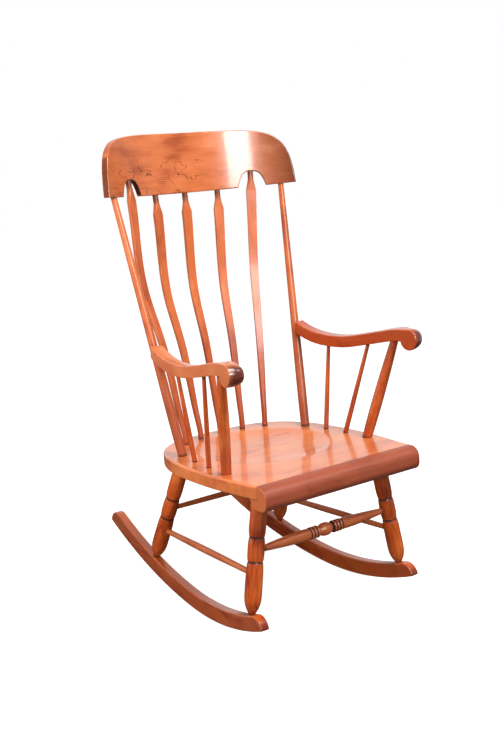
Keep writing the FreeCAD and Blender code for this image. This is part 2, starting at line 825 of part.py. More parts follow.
def knuckle_rims(board):
    """Return the curved rims of the arm's knuckle."""
    return [edge for edge in board.Edges
            if edge.BoundBox.Center.y < arm_knuckle_y + arm_knuckle_radius
            and edge.BoundBox.XLength < arm_width
            and edge.BoundBox.ZLength > arm_edge_round]


def right_arm(post):
    """Return the right arm, coped to its post and with a tenon into it."""
    wide = 2 * arm_knuckle_x
    profile = arm_profile().extrude(V(wide, arm_skew(wide) - arm_skew(0), 0))
    profile.translate(V(0, arm_skew(0), 0))
    plan = arm_plan().extrude(V(0, 0, wide))
    plan.translate(V(0, 0, arm_lowest - arm_knuckle_x))
    board = profile.common(plan)
    board = board.makeFillet(arm_edge_round, knuckle_rims(board))
    back = arm_back()
    size = 2 * arm_width
    behind = Part.makeBox(2 * size, size, 2 * size,
                          V(back.x - size, back.y - arm_cope, back.z - size))
    board = board.cut(behind).cut(post)
    return board.fuse(tenon(arm_joint(1))).removeSplitter()


def under_arm_line(place, side):
    """Return the foot on the seat and the top under the arm of a post's or spindle's axis."""
    foot_x, foot_y, top_y = {
        "rear": (arm_spindle_rear_foot_x, arm_spindle_rear_foot_y, arm_spindle_rear_top_y),
        "front": (arm_spindle_front_foot_x, arm_spindle_front_foot_y, arm_spindle_front_top_y),
        "post": (arm_post_foot_x, arm_post_foot_y, arm_post_top_y),
    }[place]
    return on_seat(side * foot_x, foot_y, 0), under_arm(side, top_y)


def under_arm_stick(place, side):
    """Return a post or a spindle under an arm, and its joints with the seat and the arm."""
    foot, top = under_arm_line(place, side)
    if place == "post":
        table, radius, depth, rise = arm_post_shares, arm_post_radius, arm_post_depth, arm_post_rise
    else:
        table, radius = arm_spindle_shares, arm_spindle_radius
        depth, rise = arm_spindle_depth, arm_spindle_rise
    joints = ((table[0][1] * radius, foot, beyond(top, foot, depth)),
              (table[-1][1] * radius, top, beyond(foot, top, rise)))
    return straight_turning(table, radius, foot, top, depth, rise), joints


def undercarriage():
    """Return the rockers, legs and stretchers by name, and the legs' joints with the seat."""
    parts = {}
    seat_joints = []
    bars = stretchers()
    for name, (shape, _) in bars.items():
        parts["stretcher_" + name] = shape
    for index, (name, side) in enumerate(SIDES):
        rocker = rocker_blank(side)
        rocker_joints = []
        for end in ENDS:
            at_rocker, at_seat = leg_joints(end, side)
            across = bars["front" if end == "front" else "back"][1][index]
            along = bars[name][1][ENDS.index(end)]
            parts["leg_%s_%s" % (end, name)] = bored(leg(end, side, rocker), (across, along))
            rocker_joints.append(at_rocker)
            seat_joints.append(at_seat)
        parts["rocker_" + name] = bored(rocker, rocker_joints)
    return parts, seat_joints


def back():
    """Return the crest, posts and arrow spindles by name, and their joints with the seat."""
    parts = {}
    seat_joints = []
    crest_joints = []
    blank = crest_blank()
    for number in ARROWS:
        at_seat, at_crest = arrow_joints(number)
        parts["arrow_spindle_%d" % (number - ARROWS[0] + 1)] = arrow_spindle(number, blank)
        seat_joints.append(at_seat)
        crest_joints.append(at_crest)
    for name, side in SIDES:
        at_seat, at_crest = post_joints(side)
        parts["back_post_" + name] = back_post(side)
        seat_joints.append(at_seat)
        crest_joints.append(at_crest)
    parts["crest_rail"] = bored(blank, crest_joints)
    return parts, seat_joints


def armrests(posts):
    """Return the arms and what carries them by name, and the joints with the seat."""
    parts = {}
    seat_joints = []
    right = right_arm(posts["right"])
    arms = {"right": right, "left": right.mirror(V(0, 0, 0), V(1, 0, 0))}
    for name, side in SIDES:
        arm_joints = []
        for place in ("post", "front", "rear"):
            stick, (at_seat, at_arm) = under_arm_stick(place, side)
            node = "arm_post_" + name if place == "post" else "arm_spindle_%s_%s" % (place, name)
            parts[node] = stick
            seat_joints.append(at_seat)
            arm_joints.append(at_arm)
        parts["arm_" + name] = bored(arms[name], arm_joints)
    return parts, seat_joints


def rest_place(shapes):
    """Return the placement that rolls the chair to rest and moves it over the origin."""
    solids = [solid for shape in shapes for solid in shape.Solids]
    mass = sum(solid.Volume for solid in solids)
    middle = V(0, 0, 0)
    for solid in solids:
        middle += solid.CenterOfMass * (solid.Volume / mass)
    ahead = middle.y < rocker_lowest_y
    centre = V(0, rocker_lowest_y, rocker_front_radius if ahead else rocker_rear_radius)
    angle = math.degrees(math.atan2(middle.y - centre.y, centre.z - middle.z))
    roll = FreeCAD.Placement(V(0, 0, 0), FreeCAD.Rotation(V(1, 0, 0), -angle), centre)
    box = FreeCAD.BoundBox()
    for shape in shapes:
        rolled = shape.copy()
        rolled.Placement = roll.multiply(rolled.Placement)
        box.add(rolled.optimalBoundingBox(False))
    shift = FreeCAD.Placement(V(-box.Center.x, -box.Center.y, -box.ZMin), FreeCAD.Rotation())
    print("mass centre", middle, "roll in degrees", angle, "box", box)
    return shift.multiply(roll)


def main():
    """Build every piece, bring the chair to rest and write one file for each piece."""
    parts, seat_joints = undercarriage()
    found, joints = back()
    parts.update(found)
    seat_joints += joints
    found, joints = armrests({name: parts["back_post_" + name] for name, _ in SIDES})
    parts.update(found)
    seat_joints += joints
    for name, side in SIDES:
        parts["back_post_" + name] = bored(parts["back_post_" + name], [arm_joint(side)])
    parts["seat"] = bored(seat_blank(), seat_joints)
    parts["seat_front_roll"] = seat_front_roll()
    place = rest_place(list(parts.values()))
    os.makedirs(PARTS_FOLDER, exist_ok=True)
    for name, shape in sorted(parts.items()):
        shape.Placement = place.multiply(shape.Placement)
        print(name, "solids", len(shape.Solids), "valid", shape.isValid(), round(shape.Volume))
        shape.exportStep(os.path.join(PARTS_FOLDER, name + ".step"))


main()
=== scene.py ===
"""The looks of an arrow-back rocking chair, built around its packed construction model.

The crest rail, the seat and the two arms are modelled here with softened edges and stand for
their plain solids. Every stick, the rockers and the roll in front of the seat keep their solids
and are dressed with wood whose grain runs along them. All lengths are in metres, and the angles
that the classes hold are in degrees.
"""
import json
import logging
import math
from collections.abc import Callable, Sequence
from dataclasses import dataclass, field
from enum import Enum
from functools import lru_cache

import bmesh
import bpy
import numpy as np
from mathutils import Matrix, Vector
from mathutils.kdtree import KDTree


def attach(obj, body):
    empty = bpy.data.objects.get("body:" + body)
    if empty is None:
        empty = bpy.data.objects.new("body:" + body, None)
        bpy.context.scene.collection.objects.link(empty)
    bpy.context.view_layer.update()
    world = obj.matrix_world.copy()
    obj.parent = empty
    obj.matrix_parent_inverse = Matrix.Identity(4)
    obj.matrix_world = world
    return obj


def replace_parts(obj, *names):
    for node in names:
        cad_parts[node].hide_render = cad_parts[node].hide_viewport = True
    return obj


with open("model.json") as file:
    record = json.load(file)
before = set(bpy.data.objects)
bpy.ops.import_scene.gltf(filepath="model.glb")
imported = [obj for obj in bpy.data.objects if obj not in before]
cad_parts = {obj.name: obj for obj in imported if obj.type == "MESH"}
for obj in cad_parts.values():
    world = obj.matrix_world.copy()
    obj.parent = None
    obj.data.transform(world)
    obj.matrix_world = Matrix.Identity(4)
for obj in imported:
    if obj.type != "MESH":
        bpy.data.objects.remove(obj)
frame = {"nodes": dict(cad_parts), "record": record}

LOG = logging.getLogger("rocking_chair")
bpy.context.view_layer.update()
BODY = "root"
SIDES = {"left": -1, "right": 1}
ACROSS = Vector((1.0, 0.0, 0.0))
BACKWARDS = Vector((0.0, 1.0, 0.0))
TOUCH = 1e-6
PLACE_DIGITS = 7
TABLE_STEPS = 12
QUARTER = math.pi / 2
MIDDLE = 0.5
WHITE = (1.0, 1.0, 1.0)

Outline = list[Vector]
Tint = tuple[float, float, float]
Triple = tuple[float, float, float]
Span = tuple[float, float]
Shares = tuple[tuple[float, float], ...]


@dataclass(frozen=True)
class RestPose:
    """How the chair, measured with its seat tilted further, is rolled and moved to rest."""

    roll: float = 2.028343
    shift_y: float = 0.0072074
    shift_z: float = 0.0022139

    def matrix(self) -> Matrix:
        """Return the matrix from the measured chair to the chair at rest."""
        shift = Matrix.Translation((0.0, self.shift_y, self.shift_z))
        return shift @ Matrix.Rotation(math.radians(self.roll), 4, "X")


REST = RestPose().matrix()


class Slot(Enum):
    """The record's material slots."""

    BOARDS = "boards"
    TURNINGS = "turnings"


def unit(value: float) -> float:
    """Return a value held between 0 and 1."""
    return min(1.0, max(0.0, value))


def smooth_path(points: Sequence[Vector], steps: int) -> Outline:
    """Draw a smooth curve through points.

    Args:
        points: The points that the curve passes through, in order.
        steps: How many pieces each stretch between two points gets.

    Returns:
        The points of the curve, its two ends included.
    """
    padded = [points[0] * 2 - points[1], *points, points[-1] * 2 - points[-2]]
    path = []
    for before, start, end, after in zip(padded, padded[1:], padded[2:], padded[3:]):
        for step in range(steps):
            t = step / steps
            path.append((start * 2 + (end - before) * t
                         + (before * 2 - start * 5 + end * 4 - after) * t ** 2
                         + (start * 3 - before - end * 3 + after) * t ** 3) / 2)
    path.append(points[-1].copy())
    return path


@lru_cache
def smooth_rows(table: Shares) -> tuple[list[float], list[float]]:
    """Return the shares and the values along the smooth curve through a table's rows."""
    rows = smooth_path([Vector(row) for row in table], TABLE_STEPS)
    return [row.x for row in rows], [row.y for row in rows]


def smooth_value(table: Shares, share: float) -> float:
    """Return a table's value at a share, on its smooth curve or at its nearer end."""
    return float(np.interp(share, *smooth_rows(table)))


def both_halves(half: Outline) -> Outline:
    """Return half an outline that ends on the middle, with its mirror image after it."""
    return half + [Vector((-point.x, point.y, point.z)) for point in reversed(half[:-1])]


def tilted(flat: Vector, tilt: float, place: Triple) -> Vector:
    """Return where a point of an upright or level board stands, tilted back, in the chair."""
    turn = Matrix.Rotation(math.radians(-tilt), 4, "X")
    return REST @ (Matrix.Translation(place) @ turn @ flat)


def deselect_all() -> None:
    """Leave nothing selected, so that an operator acts on the new piece alone."""
    bpy.ops.object.select_all(action="DESELECT")


class Workpiece:
    """One new mesh on the bench, shaped with edit-mode operators."""

    def __init__(self, name: str, outline: Sequence[Vector], filled: bool) -> None:
        """Lay out a closed outline.

        Args:
            name: The piece's name.
            outline: The corners of the outline, in order.
            filled: Whether the outline is a face or an open ring.
        """
        deselect_all()
        fill = "NGON" if filled else "NOTHING"
        bpy.ops.mesh.primitive_circle_add(vertices=len(outline), fill_type=fill)
        self.obj = bpy.context.active_object
        self.obj.name = name
        self.mesh = self.obj.data
        self.mesh.name = name
        self.ring = list(outline)
        for vertex, place in zip(self.mesh.vertices, outline):
            vertex.co = place

    def edit(self) -> None:
        """Enter edit mode with everything selected."""
        bpy.ops.object.mode_set(mode="EDIT")
        bpy.ops.mesh.select_all(action="SELECT")

    def done(self) -> None:
        """Leave edit mode."""
        bpy.ops.object.mode_set(mode="OBJECT")

    def face_outwards(self) -> None:
        """Turn every face to look outwards, in edit mode."""
        bpy.ops.mesh.select_all(action="SELECT")
        bpy.ops.mesh.normals_make_consistent(inside=False)

    def thicken(self, reach: Vector) -> None:
        """Extrude the filled outline into a board.

        Args:
            reach: How far and which way it is extruded.
        """
        self.edit()
        bpy.ops.mesh.extrude_region_move(TRANSFORM_OT_translate={"value": reach})
        self.face_outwards()
        self.done()

    def select(self, kind: str, wanted: Callable[..., bool]) -> None:
        """Select the corners or the edges that a test picks, in edit mode.

        Args:
            kind: VERT for corners or EDGE for edges.
            wanted: The test, given one of them.
        """
        bpy.ops.mesh.select_mode(type=kind)
        bpy.ops.mesh.select_all(action="DESELECT")
        shape = bmesh.from_edit_mesh(self.mesh)
        for item in filter(wanted, shape.verts if kind == "VERT" else shape.edges):
            item.select_set(True)
        bmesh.update_edit_mesh(self.mesh)

    def round_edges(self, wanted: Callable[[bmesh.types.BMEdge], bool], radius: float,
                    segments: int) -> None:
        """Round the edges that a test picks.

        Args:
            wanted: The test, given one edge.
            radius: The radius of the rounding.
            segments: How many faces the rounding has.
        """
        self.edit()
        self.select("EDGE", wanted)
        bpy.ops.mesh.bevel(offset=radius, segments=segments, affect="EDGES")
        self.done()

    def slice(self, axis: Vector, places: Sequence[float]) -> None:
        """Cut the mesh across an axis, so that it can bend there.

        Args:
            axis: The axis.
            places: Where along it the cuts lie.
        """
        self.edit()
        for place in places:
            bpy.ops.mesh.select_all(action="SELECT")
            bpy.ops.mesh.bisect(plane_co=axis * place, plane_no=axis)
        self.done()

    def extend_ring(self, ring: Sequence[Vector]) -> None:
        """Extrude the selected open ring to a new one, in edit mode.

        Args:
            ring: The new places, matched one by one with the ring before it.
        """
        tree = KDTree(len(self.ring))
        for number, place in enumerate(self.ring):
            tree.insert(place, number)
        tree.balance()
        bpy.ops.mesh.extrude_edges_move()
        shape = bmesh.from_edit_mesh(self.mesh)
        for vertex in shape.verts:
            if vertex.select:
                vertex.co = ring[tree.find(vertex.co)[1]]
        bmesh.update_edit_mesh(self.mesh)
        self.ring = list(ring)

    @classmethod
    def lofted(cls, name: str, rings: Sequence[Outline]) -> "Workpiece":
        """Model a closed shape ring by ring, and draw its first and last ring to a point.

        Args:
            name: The piece's name.
            rings: The rings, each with as many places as the first.

        Returns:
            The closed workpiece.
        """
        piece = cls(name, rings[0], filled=False)
        piece.edit()
        for ring in rings[1:]:
            piece.extend_ring(ring)
        for ring in (rings[0], rings[-1]):
            ends = {place.to_tuple(PLACE_DIGITS) for place in ring}
            piece.select("VERT", lambda vertex: vertex.co.to_tuple(PLACE_DIGITS) in ends)
            bpy.ops.mesh.merge(type="CENTER")
        piece.face_outwards()
        piece.done()
        return piece

    def bend(self, place: Callable[[Vector], Vector],
             stain: Callable[[Vector], float] | None = None) -> None:
        """Bend the straight board, and keep at each vertex where its wood was and its stain and
        painted shade.

        Args:
            place: Where a point of the straight board goes.
            stain: How deep the stain and the painted shade sit there, from 0 to 1.
        """
        kept = [("grain", "FLOAT_VECTOR", "vector", Vector)]
        if stain:
            kept.append(("stain", "FLOAT", "value", stain))
        for name, kind, part, read in kept:
            layer = self.mesh.attributes.new(name, kind, "POINT")
            for vertex, item in zip(self.mesh.vertices, layer.data):
                setattr(item, part, read(vertex.co))
        for vertex in self.mesh.vertices:
            vertex.co = place(vertex.co)

    def finish(self, angle: float) -> bpy.types.Object:
        """Shade the piece smooth up to an angle, with flat faces kept flat.

        Args:
            angle: The angle above which an edge shades sharp.

        Returns:
            The finished object, which rides on the chair.
        """
        deselect_all()
        self.obj.select_set(True)
        bpy.context.view_layer.objects.active = self.obj
        self.edit()
        self.face_outwards()
        self.done()
        bpy.ops.object.shade_smooth_by_angle(angle=math.radians(angle))
        weighted = self.obj.modifiers.new("weighted", "WEIGHTED_NORMAL")
        weighted.keep_sharp = True
        bpy.ops.object.modifier_apply(modifier=weighted.name)
        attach(self.obj, BODY)
        LOG.info("%s: %d faces", self.obj.name, len(self.mesh.polygons))
        return self.obj


def node_sum(operation: str, swapped: bool = False) -> Callable[["Signal", object], "Signal"]:
    """Return a method that adds a Math node for its signal and another value.

    Args:
        operation: What the node works out.
        swapped: Whether the other value comes first.

    Returns:
        The method.
    """
    def add(signal: "Signal", other: object) -> "Signal":
        """Add the node and return its result."""
        return signal.graph.math(operation, *((other, signal) if swapped else (signal, other)))

    return add


@dataclass
class Signal:
    """A value in a node tree. Each sum that it takes part in adds a node."""

    graph: "Graph"
    socket: bpy.types.NodeSocket
    __add__ = node_sum("ADD")
    __sub__ = node_sum("SUBTRACT")
    __rsub__ = node_sum("SUBTRACT", swapped=True)
    __mul__ = node_sum("MULTIPLY")
    __truediv__ = node_sum("DIVIDE")
    __pow__ = node_sum("POWER")

    def __abs__(self) -> "Signal":
        """Return this value without its sign."""
        return self.graph.math("ABSOLUTE", self)


class Graph:
    """A node tree with short calls that add and join nodes."""

    def __init__(self, tree: bpy.types.NodeTree) -> None:
        """Take a tree and empty it."""
        self.tree = tree
        tree.nodes.clear()

    @classmethod
    def of(cls, owner: bpy.types.Material | bpy.types.World) -> "Graph":
        """Return a material's or a world's tree, emptied."""
        owner.use_nodes = True
        return cls(owner.node_tree)

    def add(self, kind: str, inputs: dict | None = None, **settings: object) -> bpy.types.Node:
        """Add a node.

        Args:
            kind: The node's type, without the word ShaderNode in front.
            inputs: Signals or plain values for its inputs, by name or number.
            **settings: Settings of the node itself.

        Returns:
            The new node.
        """
        node = self.tree.nodes.new("ShaderNode" + kind)
        for name, value in settings.items():
            setattr(node, name, value)
        for key, value in (inputs or {}).items():
            self.join(value, node.inputs[key])
        return node

    def join(self, value: object, socket: bpy.types.NodeSocket) -> None:
        """Link a signal to an input, or set the input to a plain value.

        Args:
            value: The signal, number, vector or colour.
            socket: The input.
        """
        if isinstance(value, Signal):
            self.tree.links.new(value.socket, socket)
        elif socket.type == "RGBA":
            socket.default_value = (*value, 1.0)
        else:
            socket.default_value = value

    def value(self, kind: str, inputs: dict | None = None, output: int | str = 0,
              **settings: object) -> Signal:
        """Add a node and return one of its outputs."""
        return Signal(self, self.add(kind, inputs, **settings).outputs[output])

    def outputs(self, kind: str, inputs: dict | None = None,
                **settings: object) -> dict[str, Signal]:
        """Add a node and return its outputs by name."""
        node = self.add(kind, inputs, **settings)
        return {socket.name: Signal(self, socket) for socket in node.outputs}

    def math(self, operation: str, *values: object, clamp: bool = False) -> Signal:
        """Add a Math node and return its result."""
        return self.value("Math", dict(enumerate(values)), operation=operation, use_clamp=clamp)

    def vector(self, operation: str, *values: object) -> Signal:
        """Add a Vector Math node and return its vector."""
        return self.value("VectorMath", dict(enumerate(values)), operation=operation)

    def noise(self, place: Signal, scale: float | Triple, detail: float,
              roughness: float = 0.5) -> Signal:
        """Add a noise.

        Args:
            place: Where it is read.
            scale: How fine it is, as one number or as one for each axis.
            detail: How many finer layers it holds.
            roughness: How strong the finer layers are.

        Returns:
            Its value, from 0 to 1.
        """
        if isinstance(scale, tuple):
            place, scale = self.vector("MULTIPLY", place, scale), 1.0
        return self.value("TexNoise", {"Vector": place, "Scale": scale, "Detail": detail,
                                       "Roughness": roughness})

    def blend(self, share: object, first: object, second: object) -> Signal:
        """Mix two colours by a share and return the colour."""
        return self.value("Mix", {0: share, 6: first, 7: second}, 2, data_type="RGBA")

    def ramp(self, value: Signal, low: float, high: float) -> Signal:
        """Ease a value from 0 below low to 1 above high."""
        return self.value("MapRange", {"Value": value, "From Min": low, "From Max": high},
                          interpolation_type="SMOOTHSTEP")


class GroupGraph(Graph):
    """The node tree of a shader node group with named sockets."""

    def __init__(self, name: str) -> None:
        """Start an empty group.

        Args:
            name: The group's name.
        """
        super().__init__(bpy.data.node_groups.new(name, "ShaderNodeTree"))
        self.entry = self.tree.nodes.new("NodeGroupInput")
        self.exit = self.tree.nodes.new("NodeGroupOutput")

    def takes(self, kind: str, *names: str) -> list[Signal]:
        """Add inputs to the group.

        Args:
            kind: Their type, without the word NodeSocket in front.
            *names: Their names.

        Returns:
            Their values inside the group, in the order of the names.
        """
        for name in names:
            self.tree.interface.new_socket(name, in_out="INPUT", socket_type="NodeSocket" + kind)
        return [Signal(self, self.entry.outputs[name]) for name in names]

    def gives(self, kind: str, name: str, value: Signal) -> None:
        """Add a named output that puts out a value."""
        self.tree.interface.new_socket(name, in_out="OUTPUT", socket_type="NodeSocket" + kind)
        self.join(value, self.exit.inputs[name])


@dataclass(frozen=True)
class WoodPattern:
    """The figure of the wood: growth rings, fibres, pores and mottle.

    A fineness is given across the grain twice and then along it, per metre.
    """

    apart: Triple = (1.7, 2.3, 4.1)
    sway: Triple = (9.0, 9.0, 3.2)
    sway_reach: float = 0.045
    late_power: float = 3.0
    late_end: Span = (0.93, 1.0)
    late_depth: float = 0.30
    fibre: Triple = (520.0, 520.0, 14.0)
    fibre_detail: float = 3.0
    fibre_roughness: float = 0.62
    fibre_depth: float = 0.62
    mottle: Triple = (34.0, 34.0, 13.0)
    mottle_depth: float = 1.4
    broad: Triple = (10.0, 10.0, 6.0)
    broad_depth: float = 1.5
    soft_detail: float = 2.0
    pit: Triple = (1500.0, 1500.0, 90.0)
    pit_edge: Span = (0.62, 0.74)
    pit_depth: float = 0.55
    fibre_height: float = 0.30
    pit_height: float = 0.5
    ripple: float = 120.0

    def build(self) -> bpy.types.NodeTree:
        """Build the group.

        Returns:
            The group. Its Place runs along the grain on Z, in metres.
        """
        graph = GroupGraph("Wood figure")
        place, = graph.takes("Vector", "Place")
        seed, spacing, pith, figure, pores = graph.takes(
            "Float", "Seed", "Ring Spacing", "Pith Away", "Figure", "Pores")
        light, tone, deep = graph.takes("Color", "Light", "Tone", "Deep")

        apart = {number: seed * part for number, part in enumerate(self.apart)}
        own = graph.vector("ADD", place, graph.value("CombineXYZ", apart))
        x, y, _ = graph.outputs("SeparateXYZ", {0: place}).values()
        radius = graph.math("SQRT", (x - pith) ** 2.0 + y ** 2.0)
        radius = radius + graph.noise(own, self.sway, self.soft_detail) * self.sway_reach
        ring = graph.math("FRACT", radius / spacing)
        late = ring ** self.late_power * (1.0 - graph.ramp(ring, *self.late_end))
        fibre = graph.noise(own, self.fibre, self.fibre_detail, self.fibre_roughness)
        mottle = graph.noise(own, self.mottle, self.soft_detail)
        broad = graph.noise(own, self.broad, self.soft_detail)
        pit = graph.ramp(graph.noise(own, self.pit, 1.0), *self.pit_edge) * pores

        lift = ((fibre - MIDDLE) * self.fibre_depth + (mottle - MIDDLE) * self.mottle_depth
                + (broad - MIDDLE) * self.broad_depth - late * self.late_depth) * figure
        bright = graph.math("ADD", MIDDLE, lift, clamp=True)
        colour = graph.blend(graph.ramp(bright, 0.0, MIDDLE), deep, tone)
        colour = graph.blend(graph.ramp(bright, MIDDLE, 1.0), colour, light)
        height = fibre * self.fibre_height - pit * self.pit_height
        graph.gives("Color", "Color", graph.blend(pit * self.pit_depth, colour, deep))
        graph.gives("Float", "Height", height + graph.noise(place, self.ripple, 1.0))
        graph.gives("Float", "Wear", mottle - MIDDLE)
        return graph.tree


def build_band_group() -> bpy.types.NodeTree:
    """Build a soft dark band across a stick: finish gathered at a joint or in a groove, with
    painted shade there too.

    Returns:
        The group, which puts out a mask from the place along the stick.
    """
    graph = GroupGraph("Joint band")
    along, middle, half, soft = graph.takes("Float", "Along", "Middle", "Half Width", "Softness")
    past = (abs(along - middle) - half) / soft
    graph.gives("Float", "Mask", 1.0 - graph.ramp(past, 0.0, 1.0))
    return graph.tree


@dataclass(frozen=True)
class StreakPattern:
    """The thin wandering mineral lines that show in a wide flat board, to its left and low."""

    families: Shares = ((0.0, 0.50), (3.1, 0.46))
    stretch: Triple = (11.0, 17.0, 1.0)
    detail: float = 3.0
    roughness: float = 0.42
    line_edge: Span = (0.0015, 0.0070)
    break_scale: float = 1.6
    break_edge: Span = (0.40, 0.52)
    left_edge: Span = (0.02, 0.10)
    low_edge: Span = (0.075, 0.100)

    def lines(self, graph: Graph, flat: Signal, shift: float, level: float) -> Signal:
        """Draw a broken family of lines, which run where a shifted noise crosses a level.

        Args:
            graph: The group's tree.
            flat: The place in the board, in X and Y.
            shift: How far the noise is shifted.
            level: The level.

        Returns:
            The lines' mask.
        """
        moved = graph.vector("ADD", graph.vector("MULTIPLY", flat, self.stretch), (shift,) * 3)
        away = abs(graph.noise(moved, 1.0, self.detail, self.roughness) - level)
        gaps = graph.noise(moved, self.break_scale, 1.0)
        return (1.0 - graph.ramp(away, *self.line_edge)) * graph.ramp(gaps, *self.break_edge)

    def build(self) -> bpy.types.NodeTree:
        """Build the group.

        Returns:
            The group, which puts out a mask. Its Place is flat, with X along the grain.
        """
        graph = GroupGraph("Mineral streaks")
        x, _, z = graph.outputs("SeparateXYZ", {0: graph.takes("Vector", "Place")[0]}).values()
        flat = graph.value("CombineXYZ", {0: x, 1: z})
        mask = graph.math("MAXIMUM", *(self.lines(graph, flat, *row) for row in self.families))
        mask = mask * (1.0 - graph.ramp(x, *self.left_edge))
        graph.gives("Float", "Mask", mask * (1.0 - graph.ramp(z, *self.low_edge)))
        return graph.tree


@dataclass
class Groups:
    """The node groups that the wood materials share."""

    wood: bpy.types.NodeTree = field(default_factory=lambda: WoodPattern().build())
    band: bpy.types.NodeTree = field(default_factory=build_band_group)
    streak: bpy.types.NodeTree = field(default_factory=lambda: StreakPattern().build())


@dataclass(frozen=True)
class Band:
    """A dark band across a stick: where it lies, its half width, its fade and its depth."""

    share: float
    offset: float = 0.0
    half: float = 0.0015
    soft: float = 0.006
    strength: float = 0.75


@dataclass(frozen=True)
class Stick:
    """A kind of stick: what its tenons hide at either end, and its dark bands."""

    low: float
    high: float
    bands: tuple[Band, ...] = (Band(0.0), Band(1.0))
    foot_shade: float = 0.0
    foot_share: float = 0.62

    def middle(self, band: Band, length: float) -> float:
        """Return where a band lies along a stick of a whole length, tenons included."""
        return self.low + band.share * (length - self.low - self.high) + band.offset


# The groove and bead-gap bands are finish gathered in the recess, with painted shade there too.
LEG_GROOVES = tuple(Band(share, half=0.0016, soft=0.0022, strength=0.92)
                    for share in (0.427, 0.625))
BEAD_GAPS = tuple(Band(0.5, offset=side * reach, half=0.0008, soft=0.0020, strength=1.0)
                  for reach in (0.0203, 0.0291, 0.0379, 0.0467) for side in (-1, 1))
# foot_shade paints shade towards a stick's foot; the joint bands carry painted shade along with
# gathered finish.
STICKS = {
    "leg": Stick(0.018, 0.022, (Band(0.0, soft=0.012), Band(1.0, soft=0.010)) + LEG_GROOVES),
    "stretcher_front": Stick(0.015, 0.015, (Band(0.0), Band(1.0)) + BEAD_GAPS),
    "stretcher": Stick(0.015, 0.015),
    "back_post": Stick(0.022, 0.026, foot_shade=0.62),
    # The wide band at the arrow spindles' tops is a painted shadow of the crest.
    "arrow_spindle": Stick(0.020, 0.022, (Band(0.0), Band(1.0, half=0.008, soft=0.024)), 0.52),
    "arm_spindle": Stick(0.016, 0.014, foot_shade=0.45),
    "arm_post": Stick(0.020, 0.014, foot_shade=0.35),
}


def stick_kind(node: str) -> Stick:
    """Return the kind of stick that a node is, by the longest name that it starts with."""
    return STICKS[max((name for name in STICKS if node.startswith(name)), key=len)]


@dataclass(frozen=True)
class GrainFrame:
    """Where a piece's grain starts and how it lies."""

    origin: Vector
    axes: Matrix
    length: float

    @classmethod
    def along_stick(cls, obj: bpy.types.Object) -> "GrainFrame":
        """Find a stick's own axis from its mesh.

        Args:
            obj: The stick.

        Returns:
            The frame at the stick's lower or left end, with Z along the stick.
        """
        places = np.array([vertex.co for vertex in obj.data.vertices])
        middle = places.mean(axis=0)
        _, _, turns = np.linalg.svd(places - middle, full_matrices=False)
        axis = Vector(turns[0])
        if axis.z < 0 and abs(axis.z) > abs(axis.x) or axis.x < 0 and abs(axis.x) > abs(axis.z):
            axis.negate()
        along = (places - middle) @ np.array(axis)
        origin = Vector(middle) + axis * float(along.min())
        return cls(origin, axis.to_track_quat("Z", "Y").to_matrix(),
                   float(along.max() - along.min()))


@dataclass(frozen=True)
class WoodFinish:
    """Reddish varnished hardwood: its three tones, its figure and its gloss."""

    light: Tint = (0.78, 0.250, 0.092)
    tone: Tint = (0.61, 0.160, 0.050)
    deep: Tint = (0.37, 0.070, 0.019)
    # joint darkens the mineral lines, and the bands of gathered finish and painted shade.
    joint: Tint = (0.045, 0.006, 0.002)
    # The stain colour serves the knuckles' end grain; on the crest it also paints shade.
    stain: Tint = (0.120, 0.018, 0.007)
    shade: Tint = (0.22, 0.026, 0.006)
    end_tone: Tint | None = None
    ring_spacing: float = 0.0050
    pith_away: float = 0.055
    figure: float = 0.55
    pores: float = 0.45
    roughness: float = 0.24
    wear: float = 0.12
    dull: float = 0.5
    specular: float = 0.40
    coat: float = 0.35
    coat_roughness: float = 0.10
    bump: float = 0.00012
    streaks: float = 0.0
    front_edge: Span = (0.0, 0.5)
    end_edge: Span = (0.45, 0.90)


